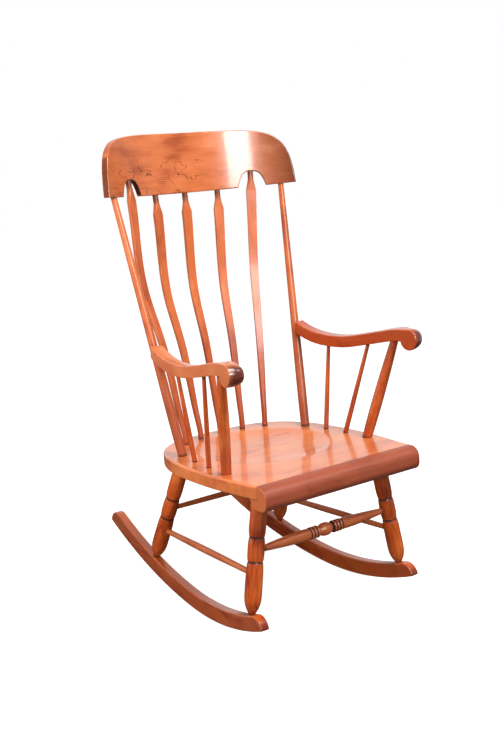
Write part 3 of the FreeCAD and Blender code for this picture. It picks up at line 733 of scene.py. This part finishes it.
@dataclass
class WoodMaterial:
    """One piece's wood.

    Its seed tells its figure from the others', and its kind says which dark bands it carries.
    Where grain is None, the piece's grain attribute holds the place in the straight board, whose
    grain runs along X, or along Y if it is turned.
    """

    groups: Groups
    name: str
    finish: WoodFinish
    seed: float
    grain: GrainFrame | None = None
    kind: Stick | None = None
    turned: bool = False

    def __post_init__(self) -> None:
        """Start the material with an empty tree."""
        self.made = bpy.data.materials.new(self.name)
        self.graph = Graph.of(self.made)

    def kept(self, name: str, output: str) -> Signal:
        """Return what the piece keeps at its vertices under a name."""
        return self.graph.value("Attribute", output=output, attribute_name=name)

    def place(self) -> Signal:
        """Find the place in the wood.

        Returns:
            The place, with Z along the grain.
        """
        if self.grain:
            coords = self.graph.value("TexCoord", output="Object")
            turn = self.grain.axes.to_euler()
            return self.graph.value("Mapping", {"Vector": coords, "Location": self.grain.origin,
                                                "Rotation": turn}, vector_type="TEXTURE")
        lie = (QUARTER, 0.0, 0.0) if self.turned else (0.0, -QUARTER, 0.0)
        return self.graph.value("Mapping", {"Vector": self.kept("grain", "Vector"),
                                            "Rotation": lie}, vector_type="POINT")

    def facing(self, way: Vector, edge: Span, both: bool = False) -> Signal:
        """Find the faces that look a way.

        Args:
            way: The way.
            edge: How straight a face looks that way where the mask starts and where it is full.
            both: Whether the faces that look the other way count too.

        Returns:
            The faces' mask.
        """
        normal = self.graph.value("TexCoord", output="Normal")
        turned = self.graph.value("VectorMath", {0: normal, 1: way}, "Value",
                                  operation="DOT_PRODUCT")
        return self.graph.ramp(abs(turned) if both else turned, *edge)

    def stained_and_shaded(self, colour: Signal) -> Signal:
        """Add the mineral lines, the stain with the painted shade kept at the vertices, and the
        end grain's tone.

        Args:
            colour: The colour of the plain wood.

        Returns:
            The colour with what the finish has of them.
        """
        finish, blend = self.finish, self.graph.blend
        if finish.streaks:
            lines = self.graph.outputs("Group", {"Place": self.kept("grain", "Vector")},
                                       node_tree=self.groups.streak)["Mask"]
            front = self.facing(-BACKWARDS, finish.front_edge)
            colour = blend(lines * front * finish.streaks, colour, finish.joint)
        if self.grain is None:
            # On the crest the kept depth holds painted shade as well as stain.
            return blend(self.kept("stain", "Fac"), colour, finish.stain)
        if finish.end_tone:
            end = self.facing(self.grain.axes.col[2], finish.end_edge, both=True)
            colour = blend(end, colour, finish.end_tone)
        return colour

    def banded(self, along: Signal, colour: Signal, rough: Signal) -> tuple[Signal, Signal]:
        """Darken a stick with painted shade towards its foot, and with bands of gathered finish
        and painted shade at its joints and grooves, and dull the bands.

        Args:
            along: The place along the stick.
            colour: Its colour before.
            rough: Its roughness before.

        Returns:
            The colour and the roughness after.
        """
        graph, finish, kind, length = self.graph, self.finish, self.kind, self.grain.length
        # Painted shade: the stick darkens towards its foot.
        foot = 1.0 - graph.ramp(along, kind.low, length * kind.foot_share)
        colour = graph.blend(foot * kind.foot_shade, colour, finish.shade)
        for band in kind.bands:
            mask = graph.outputs("Group", {
                "Along": along, "Middle": kind.middle(band, length), "Half Width": band.half,
                "Softness": band.soft}, node_tree=self.groups.band)["Mask"]
            share = mask * band.strength
            colour = graph.blend(share, colour, finish.joint)
            rough = rough + share * finish.dull
        return colour, rough

    def build(self) -> bpy.types.Material:
        """Join the wood's figure, its stains and its gloss.

        Returns:
            The material.
        """
        graph, finish = self.graph, self.finish
        place = self.place()
        wood = graph.outputs("Group", {
            "Place": place, "Seed": self.seed, "Ring Spacing": finish.ring_spacing,
            "Pith Away": finish.pith_away, "Figure": finish.figure, "Pores": finish.pores,
            "Light": finish.light, "Tone": finish.tone, "Deep": finish.deep},
            node_tree=self.groups.wood)
        colour = self.stained_and_shaded(wood["Color"])
        rough = wood["Wear"] * finish.wear + finish.roughness
        if self.kind:
            along = graph.outputs("SeparateXYZ", {0: place})["Z"]
            colour, rough = self.banded(along, colour, rough)
        bump = graph.value("Bump", {"Height": wood["Height"], "Strength": 1.0,
                                    "Distance": finish.bump})
        graph.add("OutputMaterial", {0: graph.value("BsdfPrincipled", {
            "Base Color": colour, "Roughness": rough, "Normal": bump,
            "Specular IOR Level": finish.specular,
            "Coat Weight": finish.coat, "Coat Roughness": finish.coat_roughness})})
        return self.made


@dataclass
class CrestRail:
    """The crest rail: a board bent to an arc that leans back, with two notches below."""

    lean: float = 10.6
    foot_y: float = 0.271
    foot_z: float = 0.941
    radius: float = 0.415
    half_length: float = 0.2955
    height: float = 0.148
    thickness: float = 0.016
    notch_centre: float = 0.1825
    notch_half: float = 0.0365
    notch_height: float = 0.040
    notch_edge: float = 0.0010
    notch_top_share: float = 1.03
    edge_radius: float = 0.0026
    edge_faces: int = 3
    # How far the stain and painted shade reach on the end walls, and how the face darkens
    # towards its ends.
    end_share: float = 0.93
    end_rise: float = 4.0
    end_depth: float = 0.8
    tone_share: float = 0.38
    tone_power: float = 1.5
    left_depth: float = 0.22
    right_depth: float = 0.80
    slices: int = 72
    outline_steps: int = 5
    notch_steps: int = 4
    sharp_angle: float = 40.0
    outline_shares: Shares = (
        (1.0, 0.0), (0.990, 0.24), (0.968, 0.47), (0.932, 0.64), (0.885, 0.755), (0.82, 0.850),
        (0.73, 0.915), (0.60, 0.960), (0.42, 0.988), (0.21, 0.998), (0.0, 1.0))
    notch_shares: Shares = (
        (-1.0, 0.0), (-0.80, 0.50), (-0.52, 0.86), (0.0, 1.0), (0.52, 0.86), (0.80, 0.50),
        (1.0, 0.0))

    def outline(self) -> Outline:
        """Draw the flat board's outline, with its two notches.

        Returns:
            Its places in X and Z, once round.
        """
        half = [Vector((self.half_length * along, 0.0, self.height * up))
                for along, up in self.outline_shares]
        path = smooth_path(both_halves(half), self.outline_steps)
        for side in SIDES.values():
            arch = [Vector((side * self.notch_centre + self.notch_half * across, 0.0,
                            self.notch_height * up)) for across, up in self.notch_shares]
            path += smooth_path(arch, self.notch_steps)
        return path

    def bent(self, flat: Vector) -> Vector:
        """Bend the straight board to its arc and stand it in the chair.

        Args:
            flat: A point of the straight board.

        Returns:
            Where the point stands in the chair.
        """
        angle = flat.x / self.radius
        reach = self.radius + flat.y
        local = Vector((reach * math.sin(angle), reach * math.cos(angle) - self.radius, flat.z))
        return tilted(local, self.lean, (0.0, self.foot_y, self.foot_z))

    def is_rim(self, edge: bmesh.types.BMEdge) -> bool:
        """Tell whether an edge runs round the board's front or back face."""
        first, second = (vertex.co.y for vertex in edge.verts)
        return abs(first - second) < self.notch_edge

    def stain(self, flat: Vector) -> float:
        """Tell how deep the stain and the painted shade sit, on the end and notch walls and
        towards the ends.

        Args:
            flat: A point of the straight board.

        Returns:
            The depth, from 0 to 1.
        """
        # The face darkens towards both ends, most at the right.
        outward = abs(flat.x) / self.half_length
        toned = unit((outward - self.tone_share) / (1.0 - self.tone_share))
        tone = (self.right_depth if flat.x > 0 else self.left_depth) * toned ** self.tone_power
        # The end and notch walls are end grain that takes the stain deeper, with painted shade
        # on top where they face away from the light.
        inside = unit(min(flat.y, self.thickness - flat.y) / self.edge_radius)
        across = abs(abs(flat.x) - self.notch_centre)
        in_notch = (across < self.notch_half + self.notch_edge
                    and self.notch_edge < flat.z < self.notch_height * self.notch_top_share)
        if in_notch:
            return max(inside, tone)
        end = unit((outward - self.end_share) / (1.0 - self.end_share) * self.end_rise)
        return max(inside * min(self.end_depth, end), tone)

    def build(self) -> bpy.types.Object:
        """Model the rail.

        Returns:
            The rail, which stands for its solid.
        """
        piece = Workpiece("crest", self.outline(), filled=True)
        piece.thicken(BACKWARDS * self.thickness)
        piece.round_edges(self.is_rim, self.edge_radius, self.edge_faces)
        step = 2 * self.half_length / self.slices
        piece.slice(ACROSS, [-self.half_length + step * number
                             for number in range(1, self.slices)])
        piece.bend(self.bent, self.stain)
        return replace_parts(piece.finish(self.sharp_angle), "crest_rail")


@dataclass
class Seat:
    """The seat: a plank with eased edges and a shallow round dish."""

    tilt: float = 7.1
    height: float = 0.359
    thickness: float = 0.031
    half_width: float = 0.240
    front: float = 0.331
    back: float = 0.166
    edge_radius: float = 0.005
    under_radius: float = 0.003
    edge_steps: int = 6
    dish_radius: float = 0.166
    dish_depth: float = 0.009
    dish_centre: float = -0.056
    floor_radius: float = 0.070
    rim_ease: float = 0.0026
    outline_steps: int = 7
    front_steps: int = 40
    sharp_angle: float = 50.0
    side_shares: Shares = (
        (0.0, 0.930), (0.11, 0.957), (0.25, 0.990), (0.40, 1.0), (0.55, 0.985),
        (0.69, 0.945), (0.80, 0.865), (0.88, 0.765), (0.95, 0.600), (0.987, 0.380), (1.0, 0.0))
    wall_shares: Shares = ((0.0, 1.0), (0.30, 0.94), (0.55, 0.77), (0.80, 0.42), (1.0, 0.0))
    ease_shares: tuple[float, ...] = (-1.5, -0.75, 0, 0.75, 1.5)
    dish_shares: tuple[float, ...] = (
        0.02, 0.07, 0.14, 0.22, 0.30, 0.38, 0.46, 0.54, 0.61, 0.67, 0.72, 0.77, 0.81,
        0.85, 0.885, 0.915, 0.94, 0.96, 0.975, 0.99, 1.0, 1.01, 1.025)
    top_shares: tuple[float, ...] = (0.12, 0.3, 0.5, 0.7, 0.88, 0.97)
    edge_shares: tuple[float, ...] = (0.25, 0.5, 0.75)
    under_shares: tuple[float, ...] = (0.1, 0.4, 0.7, 0.93, 0.99)

    def outline(self) -> Outline:
        """Draw the seat's outline.

        Returns:
            Its places, once round from the right front corner past the back.
        """
        length = self.front + self.back
        right = [Vector((self.half_width * wide, -self.front + length * along, 0.0))
                 for along, wide in self.side_shares]
        path = smooth_path(both_halves(right), self.outline_steps)
        corner = path[0].x
        return path + [Vector((-corner + 2 * corner * step / self.front_steps, -self.front, 0.0))
                       for step in range(1, self.front_steps)]

    def inset(self, path: Outline, amount: float, level: float) -> Outline:
        """Return the outline drawn in by an amount at a level, with its front edge in place.

        Args:
            path: The full outline.
            amount: How far it is drawn in.
            level: The height of the result over the seat's top.

        Returns:
            The new ring.
        """
        corner = path[0].x
        ring = []
        for number, place in enumerate(path):
            if abs(place.y + self.front) < TOUCH:
                ring.append(Vector((place.x * (corner - amount) / corner, place.y, level)))
                continue
            along = path[(number + 1) % len(path)] - path[number - 1]
            spot = place + Vector((-along.y, along.x, 0.0)).normalized() * amount
            ring.append(Vector((spot.x, max(spot.y, -self.front), level)))
        return ring

    def dish(self, share: float) -> float:
        """Find the level of the dish.

        Args:
            share: How far from its middle, as a share of its radius.

        Returns:
            The level over the seat's top, 0 or less.
        """
        floor_share = self.floor_radius / self.dish_radius
        if share >= 1.0:
            return 0.0
        climb = max(0.0, share - floor_share) / (1.0 - floor_share)
        return -self.dish_depth * min(1.0, smooth_value(self.wall_shares, climb))

    def dish_rings(self, rays: Sequence[Vector]) -> list[Outline]:
        """Return the rings of the dish, from its middle to just past its softened rim.

        Args:
            rays: The ways from the dish's middle to the outline.

        Returns:
            The rings.
        """
        ease = self.rim_ease / self.dish_radius
        rings = []
        for share in self.dish_shares:
            levels = [self.dish(share + ease * shift) for shift in self.ease_shares]
            middle = Vector((0.0, self.dish_centre, sum(levels) / len(levels)))
            rings.append([middle + ray * (self.dish_radius * share) for ray in rays])
        return rings

    def rings(self) -> list[Outline]:
        """Draw the seat ring by ring.

        Returns:
            The rings, from the dish's middle over the edge to the underside.
        """
        path = self.outline()
        middle = Vector((0.0, self.dish_centre, 0.0))
        rings = self.dish_rings([(place - middle).normalized() for place in path])
        rim = [Vector((spot.x, spot.y, 0.0)) for spot in rings[-1]]
        top = self.inset(path, self.edge_radius, 0.0)
        rings += [[low.lerp(high, share) for low, high in zip(rim, top)]
                  for share in self.top_shares]
        rings += self.rounding(path, self.edge_radius, 0.0, False)
        wall = self.under_radius + self.edge_radius - self.thickness
        rings += [self.inset(path, 0.0, wall * share - self.edge_radius)
                  for share in self.edge_shares]
        rings += self.rounding(path, self.under_radius, -self.thickness, True)
        under = middle + Vector((0.0, 0.0, -self.thickness))
        return rings + [[spot.lerp(under, share) for spot in rings[-1]]
                        for share in self.under_shares]

    def rounding(self, path: Outline, radius: float, level: float, under: bool) -> list[Outline]:
        """Return the rings of a quarter round along the outline.

        Args:
            path: The full outline.
            radius: The radius of the round.
            level: The level of the face that it starts from or ends at.
            under: Whether it turns in to the underside.

        Returns:
            The rings, in order downwards.
        """
        rings = []
        for step in range(self.edge_steps + 1):
            angle = QUARTER * step / self.edge_steps
            amount, drop = radius * (1 - math.sin(angle)), radius * (1 - math.cos(angle))
            if under:
                amount, drop = drop, -amount
            rings.append(self.inset(path, amount, level - drop))
        return rings

    def placed(self, flat: Vector) -> Vector:
        """Return where a point of the level seat stands in the chair."""
        return tilted(flat, self.tilt, (0.0, 0.0, self.height))

    def build(self) -> bpy.types.Object:
        """Model the seat.

        Returns:
            The seat, which stands for its solid.
        """
        piece = Workpiece.lofted("seat_board", self.rings())
        piece.bend(self.placed)
        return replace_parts(piece.finish(self.sharp_angle), "seat")


@dataclass
class Arm:
    """One arm: a bowed bar with softened edges that rolls over into a knuckle."""

    name: str
    side: int
    back_x: float = 0.2115751
    back_y: float = 0.0941767
    width: float = 0.0325
    thickness: float = 0.0285
    turn: float = 14.0
    turn_rounds: int = 4
    lowest: float = 0.604
    sweep: float = 0.0625
    middle_x: float = 0.231
    knuckle_x: float = 0.255
    knuckle_y: float = -0.291
    knuckle_width: float = 0.041
    knuckle_radius: float = 0.0248
    knuckle_steps: int = 44
    cope: float = 0.007
    far_radius: float = 0.0042
    far_faces: int = 4
    near_radius: float = 0.0024
    near_faces: int = 3
    rim_touch: float = 1e-5
    end_depth: float = 0.0240
    end_draw: float = 0.0130
    end_start: float = 0.004
    end_fade: float = 0.030
    stain_from: float = 92.0
    stain_rise: float = 38.0
    stain_to: float = 345.0
    stain_lip: float = 0.001
    stain_edge: float = 0.0022
    slices: int = 44
    side_slices: int = 8
    side_slice: float = 0.0024
    outline_steps: int = 6
    sharp_angle: float = 40.0
    bottom_end_share: float = 0.93
    top_shares: Shares = (
        (-0.08, 0.44), (-0.03, 0.33), (0.095, 0.093), (0.25, 0.0), (0.45, 0.123), (0.65, 0.458),
        (0.859, 0.850), (1.0, 1.0))
    flare_shares: Shares = (
        (-0.17, 0.0), (0.12, 0.0), (0.42, 0.0), (0.71, 0.15), (0.90, 0.75), (1.17, 1.0))

    def outline(self) -> Outline:
        """Draw the straight bar's side view.

        Returns:
            Its places in Y and Z, once round.
        """
        reach = self.knuckle_y - self.back_y
        rows = [Vector((0.0, self.back_y + reach * along, self.lowest + self.sweep * up))
                for along, up in self.top_shares]
        top = smooth_path(rows, self.outline_steps)
        drop = Vector((0.0, 0.0, -self.thickness))
        level = float(np.interp(self.bottom_end_share, *zip(*self.top_shares)))
        end = drop + Vector((0.0, self.back_y + reach * self.bottom_end_share,
                             self.lowest + self.sweep * level))
        under = smooth_path([row + drop for row in rows[:-1]] + [end], self.outline_steps)
        centre = self.knuckle_centre()
        turn = 3 * QUARTER - math.asin((centre.z - end.z) / self.knuckle_radius)
        barrel = []
        for step in range(1, self.knuckle_steps + 1):
            angle = QUARTER + turn * step / self.knuckle_steps
            barrel.append(centre + self.knuckle_radius
                          * Vector((0.0, math.cos(angle), math.sin(angle))))
        return top + barrel + list(reversed(under))

    def knuckle_centre(self) -> Vector:
        """Return the middle of the knuckle in the straight bar's side view."""
        return Vector((0.0, self.knuckle_y, self.lowest + self.sweep - self.knuckle_radius))

    def near_depth(self, flat: Vector) -> float:
        """Return how far a point of the bar lies from its side that looks to -X."""
        return self.width / 2 + flat.x * self.side

    def stain(self, flat: Vector) -> float:
        """Tell how deep the stain sits: round the knuckle's front and nowhere else.

        Args:
            flat: A point of the straight bar.

        Returns:
            The depth, from 0 to 1.
        """
        away = flat - self.knuckle_centre()
        if away.y > self.knuckle_radius or flat.z > self.lowest + self.sweep + self.stain_lip:
            return 0.0
        turned = math.degrees(math.atan2(away.z, away.y)) % 360.0
        front = unit((turned - self.stain_from) / self.stain_rise) * (turned < self.stain_to)
        return front * unit(self.near_depth(flat) / self.stain_edge - 0.5)

    def ball_ended(self, flat: Vector) -> Vector:
        """Round off the far end of the knuckle.

        Args:
            flat: A point of the straight bar.

        Returns:
            The point after the rounding.
        """
        centre = self.knuckle_centre()
        away = Vector((0.0, flat.y - centre.y, flat.z - centre.z))
        depth = (self.near_depth(flat) - self.width + self.end_depth) / self.end_depth
        if depth <= 0.0 or away.length < TOUCH:
            return flat
        drawn = self.end_draw * (1.0 - math.sqrt(1.0 - unit(depth) ** 2))
        reach = min(1.0, away.length / self.knuckle_radius)
        fade = unit(1.0 - (away.y - self.end_start) / self.end_fade)
        return flat - away.normalized() * (drawn * reach * fade * fade * (3 - 2 * fade))

    def bowed(self, straight: Vector) -> Vector:
        """Bow the bar, widen its knuckle and stand it in the chair.

        Args:
            straight: A point of the straight bar.

        Returns:
            Where the point stands in the chair.
        """
        flat = self.ball_ended(straight)
        y = flat.y
        bow = self.middle_x - (self.back_x + self.knuckle_x) / 2
        for _ in range(self.turn_rounds):
            share = (y - self.back_y) / (self.knuckle_y - self.back_y)
            middle = (self.back_x + (self.knuckle_x - self.back_x) * share
                      + bow * (1 - (2 * share - 1) ** 2))
            flare = smooth_value(self.flare_shares, share)
            x = middle + flat.x * (1 + (self.knuckle_width / self.width - 1) * flare)
            y = flat.y + (x - self.knuckle_x) * math.tan(math.radians(self.turn))
        return REST @ Vector((self.side * x, y, flat.z))

    def is_rim(self, edge: bmesh.types.BMEdge, depth: float) -> bool:
        """Tell whether an edge runs round the bar at a depth from its side that looks to -X."""
        return all(abs(self.near_depth(vertex.co) - depth) < self.rim_touch
                   for vertex in edge.verts)

    def build(self) -> bpy.types.Object:
        """Model the arm.

        Returns:
            The arm, which stands for its solid.
        """
        outline = [place - ACROSS * (self.width / 2) for place in self.outline()]
        piece = Workpiece("arm_rest_" + self.name, outline, filled=True)
        piece.thicken(ACROSS * self.width)
        for depth, radius, faces in ((self.width, self.far_radius, self.far_faces),
                                     (0.0, self.near_radius, self.near_faces)):
            piece.round_edges(lambda edge: self.is_rim(edge, depth), radius, faces)
        front = self.knuckle_y - self.knuckle_radius
        back = self.back_y - self.cope
        piece.edit()
        bpy.ops.mesh.bisect(plane_co=BACKWARDS * back, plane_no=BACKWARDS, use_fill=True,
                            clear_outer=True)
        piece.done()
        piece.slice(BACKWARDS, [front + (back - front) * number / self.slices
                                for number in range(1, self.slices)])
        inner = self.width / 2 - self.far_radius
        piece.slice(ACROSS, [self.side * (inner - self.side_slice * number)
                             for number in range(1, self.side_slices + 1)])
        piece.bend(self.bowed, self.stain)
        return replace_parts(piece.finish(self.sharp_angle), "arm_" + self.name)


def stand(name: str, data: bpy.types.ID) -> bpy.types.Object:
    """Add a lamp's or a camera's object to the scene.

    Args:
        name: The object's name.
        data: The lamp or the camera.

    Returns:
        The object.
    """
    obj = bpy.data.objects.new(name, data)
    bpy.context.scene.collection.objects.link(obj)
    return obj


@dataclass(frozen=True)
class Lamp:
    """One soft lamp: where it stands, what it aims at, how large and how strong it is."""

    name: str
    place: Triple
    aim: Triple
    wide: float
    high: float
    watts: float
    shades: bool = True
    mirrors: bool = True

    def build(self) -> None:
        """Add the lamp to the scene."""
        data = bpy.data.lights.new(self.name, "AREA")
        data.shape = "RECTANGLE"
        data.size = self.wide
        data.size_y = self.high
        data.energy = self.watts
        lamp = stand(self.name, data)
        lamp.location = self.place
        lamp.visible_camera = False
        lamp.visible_diffuse = self.shades
        lamp.visible_glossy = self.mirrors
        way = Vector(self.aim) - Vector(self.place)
        lamp.rotation_euler = way.to_track_quat("-Z", "Y").to_euler()


@dataclass
class Studio:
    """The plain white studio: floor, surroundings, lamps and camera."""

    floor_size: float = 14.0
    floor_paper: Tint = (0.50, 0.49, 0.48)
    floor_bounce: Tint = (0.13, 0.12, 0.12)
    floor_glow: float = 0.91
    glow_edge: Span = (1.8, 4.5)
    ambient: float = 0.20
    glossy_front: float = 0.05
    glossy_right: float = 0.55
    right_edge: Span = (0.3, 0.8)
    back_edge: Span = (-0.15, 0.4)
    camera_place: Triple = (-1.5006, -2.1074, 1.2089)
    camera_heading: float = 35.716
    camera_pitch: float = -14.897
    camera_roll: float = -1.235
    lens: float = 52.38
    sensor_width: float = 36.0
    lamps: tuple[Lamp, ...] = (
        Lamp("key", (0.1, -1.7, 3.2), (0.0, 0.0, 0.8), 1.5, 1.5, 124.0),
        Lamp("front", (-0.32, -3.2, 2.05), (0.0, 0.2, 1.0), 1.0, 1.0, 100.0, shades=False),
        Lamp("fill", (-1.7, -2.6, 1.0), (0.0, 0.0, 0.3), 1.5, 1.5, 19.0, mirrors=False),
        Lamp("left", (-0.9, 0.0, 0.75), (-0.2, 0.0, 0.7), 0.5, 0.9, 6.5, mirrors=False),
        Lamp("side", (1.6, -1.7, 2.5), (0.0, 0.0, 0.6), 0.24, 0.24, 10.5, shades=False),
    )

    def build(self) -> None:
        """Set up the whole studio."""
        self.build_floor()
        self.build_world()
        for lamp in self.lamps:
            lamp.build()
        self.build_camera()
        bpy.context.scene.view_settings.view_transform = "Standard"

    def build_floor(self) -> None:
        """Lay a floor that shows white with a faint shadow."""
        deselect_all()
        bpy.ops.mesh.primitive_plane_add(size=self.floor_size)
        floor = bpy.context.active_object
        floor.name = "studio_floor"
        material = bpy.data.materials.new("studio_floor")
        graph = Graph.of(material)
        rays = graph.outputs("LightPath")
        tint = graph.blend(rays["Is Camera Ray"], self.floor_bounce, self.floor_paper)
        paper = graph.value("BsdfDiffuse", {"Color": tint})
        spot = graph.value("TexCoord", output="Object")
        away = graph.value("VectorMath", {0: spot}, "Value", operation="LENGTH")
        mirrored = rays["Is Glossy Ray"] * graph.ramp(away, *self.glow_edge)
        seen = graph.math("MAXIMUM", rays["Is Camera Ray"], mirrored)
        glow = graph.value("Emission", {"Color": WHITE, "Strength": seen * self.floor_glow})
        graph.add("OutputMaterial", {0: graph.value("AddShader", {0: paper, 1: glow})})
        floor.data.materials.append(material)

    def build_world(self) -> None:
        """Make surroundings that show white and light the chair softly."""
        world = bpy.data.worlds.new("studio")
        bpy.context.scene.world = world
        graph = Graph.of(world)
        rays = graph.outputs("LightPath")
        way = graph.value("TexCoord", output="Generated")
        x, y, _ = graph.outputs("SeparateXYZ", {0: way}).values()
        right = graph.ramp(x, *self.right_edge) * self.glossy_right
        sides = graph.math("MAXIMUM", right, graph.ramp(y, *self.back_edge))
        glossy = rays["Is Glossy Ray"] * graph.math("MAXIMUM", sides, self.glossy_front)
        plain = (1.0 - rays["Is Glossy Ray"]) * self.ambient
        strength = graph.math("MAXIMUM", plain + glossy, rays["Is Camera Ray"])
        graph.add("OutputWorld", {0: graph.value("Background",
                                                 {"Color": WHITE, "Strength": strength})})

    def build_camera(self) -> None:
        """Stand the camera at the photographed angle."""
        data = bpy.data.cameras.new("camera")
        data.lens = self.lens
        data.sensor_width = self.sensor_width
        camera = stand("camera", data)
        turn = (Matrix.Rotation(math.radians(-self.camera_heading), 4, "Z")
                @ Matrix.Rotation(QUARTER + math.radians(self.camera_pitch), 4, "X")
                @ Matrix.Rotation(math.radians(self.camera_roll), 4, "Z"))
        camera.matrix_world = Matrix.Translation(self.camera_place) @ turn
        bpy.context.scene.camera = camera


@dataclass
class Chair:
    """The whole chair: its modelled pieces and its dressed solids.

    The seeds of a row of pieces are its first seed and the step to the next.
    """

    groups: Groups
    crest_seed: float = 0.31
    seat_seed: float = 0.72
    arm_seeds: Span = (0.15, 0.4)
    board_seeds: Span = (0.23, 0.37)
    stick_seeds: Span = (0.11, 0.173)
    boards: WoodFinish = WoodFinish()
    # The crest's near-black stain colour paints shade on its end and notch walls as well as
    # their deeper stain.
    crest_wood: WoodFinish = WoodFinish(
        streaks=0.70, pith_away=0.09, figure=0.80, stain=(0.055, 0.009, 0.004))
    seat_wood: WoodFinish = WoodFinish(
        light=(0.86, 0.290, 0.092), tone=(0.72, 0.190, 0.050), deep=(0.46, 0.080, 0.018),
        figure=0.70, roughness=0.30, specular=0.5, coat=0.55, coat_roughness=0.07)
    # A shaded copy of the boards' wood for the right arm, whose inner face the light misses:
    # painted shade.
    right_arm_shaded_wood: WoodFinish = WoodFinish(
        light=(0.68, 0.140, 0.030), tone=(0.50, 0.074, 0.011), deep=(0.28, 0.030, 0.004),
        figure=0.70)
    # A deeper copy for the rockers down by the floor: painted shade.
    rocker_shaded_wood: WoodFinish = WoodFinish(
        light=(0.72, 0.180, 0.048), tone=(0.52, 0.094, 0.018), deep=(0.29, 0.036, 0.006),
        figure=0.75, end_tone=(0.20, 0.028, 0.010))
    roll_wood: WoodFinish = WoodFinish(
        light=(0.47, 0.108, 0.044), tone=(0.34, 0.068, 0.027), deep=(0.21, 0.035, 0.013),
        figure=0.70, roughness=0.42, coat=0.0, end_tone=(0.60, 0.150, 0.044))
    turnings: WoodFinish = WoodFinish(
        light=(0.78, 0.230, 0.075), tone=(0.60, 0.140, 0.036), deep=(0.36, 0.058, 0.013),
        figure=0.80, roughness=0.36, coat=0.12)
    # Deeper shaded copies for the legs under the seat and for the arms' sticks: painted shade.
    leg_wood: WoodFinish = WoodFinish(
        light=(0.88, 0.250, 0.056), tone=(0.62, 0.104, 0.012), deep=(0.33, 0.032, 0.003),
        figure=0.90)
    arm_stick_shaded_wood: WoodFinish = WoodFinish(
        light=(0.78, 0.190, 0.042), tone=(0.56, 0.096, 0.015), deep=(0.32, 0.036, 0.005),
        figure=0.80)

    def dress(self, obj: bpy.types.Object, slot: Slot, name: str, finish: WoodFinish,
              seed: float, **lie: object) -> None:
        """Give an object one wood.

        Args:
            obj: The object.
            slot: The slot, not used.
            name: The wood's name.
            finish: Its finish.
            seed: What tells its figure from the others'.
            **lie: How its grain lies and which kind of stick it is.
        """
        obj.data.materials.clear()
        obj.data.materials.append(WoodMaterial(self.groups, name, finish, seed, **lie).build())
        LOG.info("%s: dressed", obj.name)

    def dress_row(self, finishes: dict[str, WoodFinish], slot: Slot, seeds: Span) -> None:
        """Dress a row of pieces that keep their solids.

        Args:
            finishes: Each piece's finish, by its node.
            slot: The record's slot for them all.
            seeds: The row's seeds.
        """
        for number, (node, finish) in enumerate(finishes.items()):
            obj = frame["nodes"][node]
            self.dress(obj, slot, node + "_wood", finish, seeds[0] + seeds[1] * number,
                       grain=GrainFrame.along_stick(obj),
                       kind=stick_kind(node) if slot is Slot.TURNINGS else None)

    def stick_wood(self, node: str) -> WoodFinish:
        """Choose a stick's finish: the legs get the deepest shaded copy of the wood, painted
        shade for their place under the seat, then the arms' sticks.

        Args:
            node: The stick's node.

        Returns:
            Its finish.
        """
        if node.startswith("leg"):
            return self.leg_wood
        return self.arm_stick_shaded_wood if node.startswith("arm") else self.turnings

    def build(self) -> None:
        """Model and dress every piece."""
        self.dress(CrestRail().build(), Slot.BOARDS, "crest_wood", self.crest_wood,
                   self.crest_seed)
        self.dress(Seat().build(), Slot.BOARDS, "seat_wood", self.seat_wood, self.seat_seed)
        for number, (name, side) in enumerate(SIDES.items()):
            # The right arm takes its painted-shade copy of the wood.
            finish = self.right_arm_shaded_wood if name == "right" else self.boards
            self.dress(Arm(name, side).build(), Slot.BOARDS, "arm_wood_" + name, finish,
                       self.arm_seeds[0] + self.arm_seeds[1] * number, turned=True)
        self.dress_row({"rocker_left": self.rocker_shaded_wood, "rocker_right": self.rocker_shaded_wood,
                        "seat_front_roll": self.roll_wood}, Slot.BOARDS, self.board_seeds)
        slots = {row["node"]: row["material_slot"] for row in frame["record"]["subparts"]}
        sticks = sorted(node for node, slot in slots.items() if slot == Slot.TURNINGS.value)
        self.dress_row({node: self.stick_wood(node) for node in sticks}, Slot.TURNINGS,
                       self.stick_seeds)


def main() -> None:
    """Build the chair and the studio around it."""
    logging.basicConfig(level=logging.INFO, format="%(message)s")
    Studio().build()
    Chair(Groups()).build()


if __name__ == "__main__":
    main()
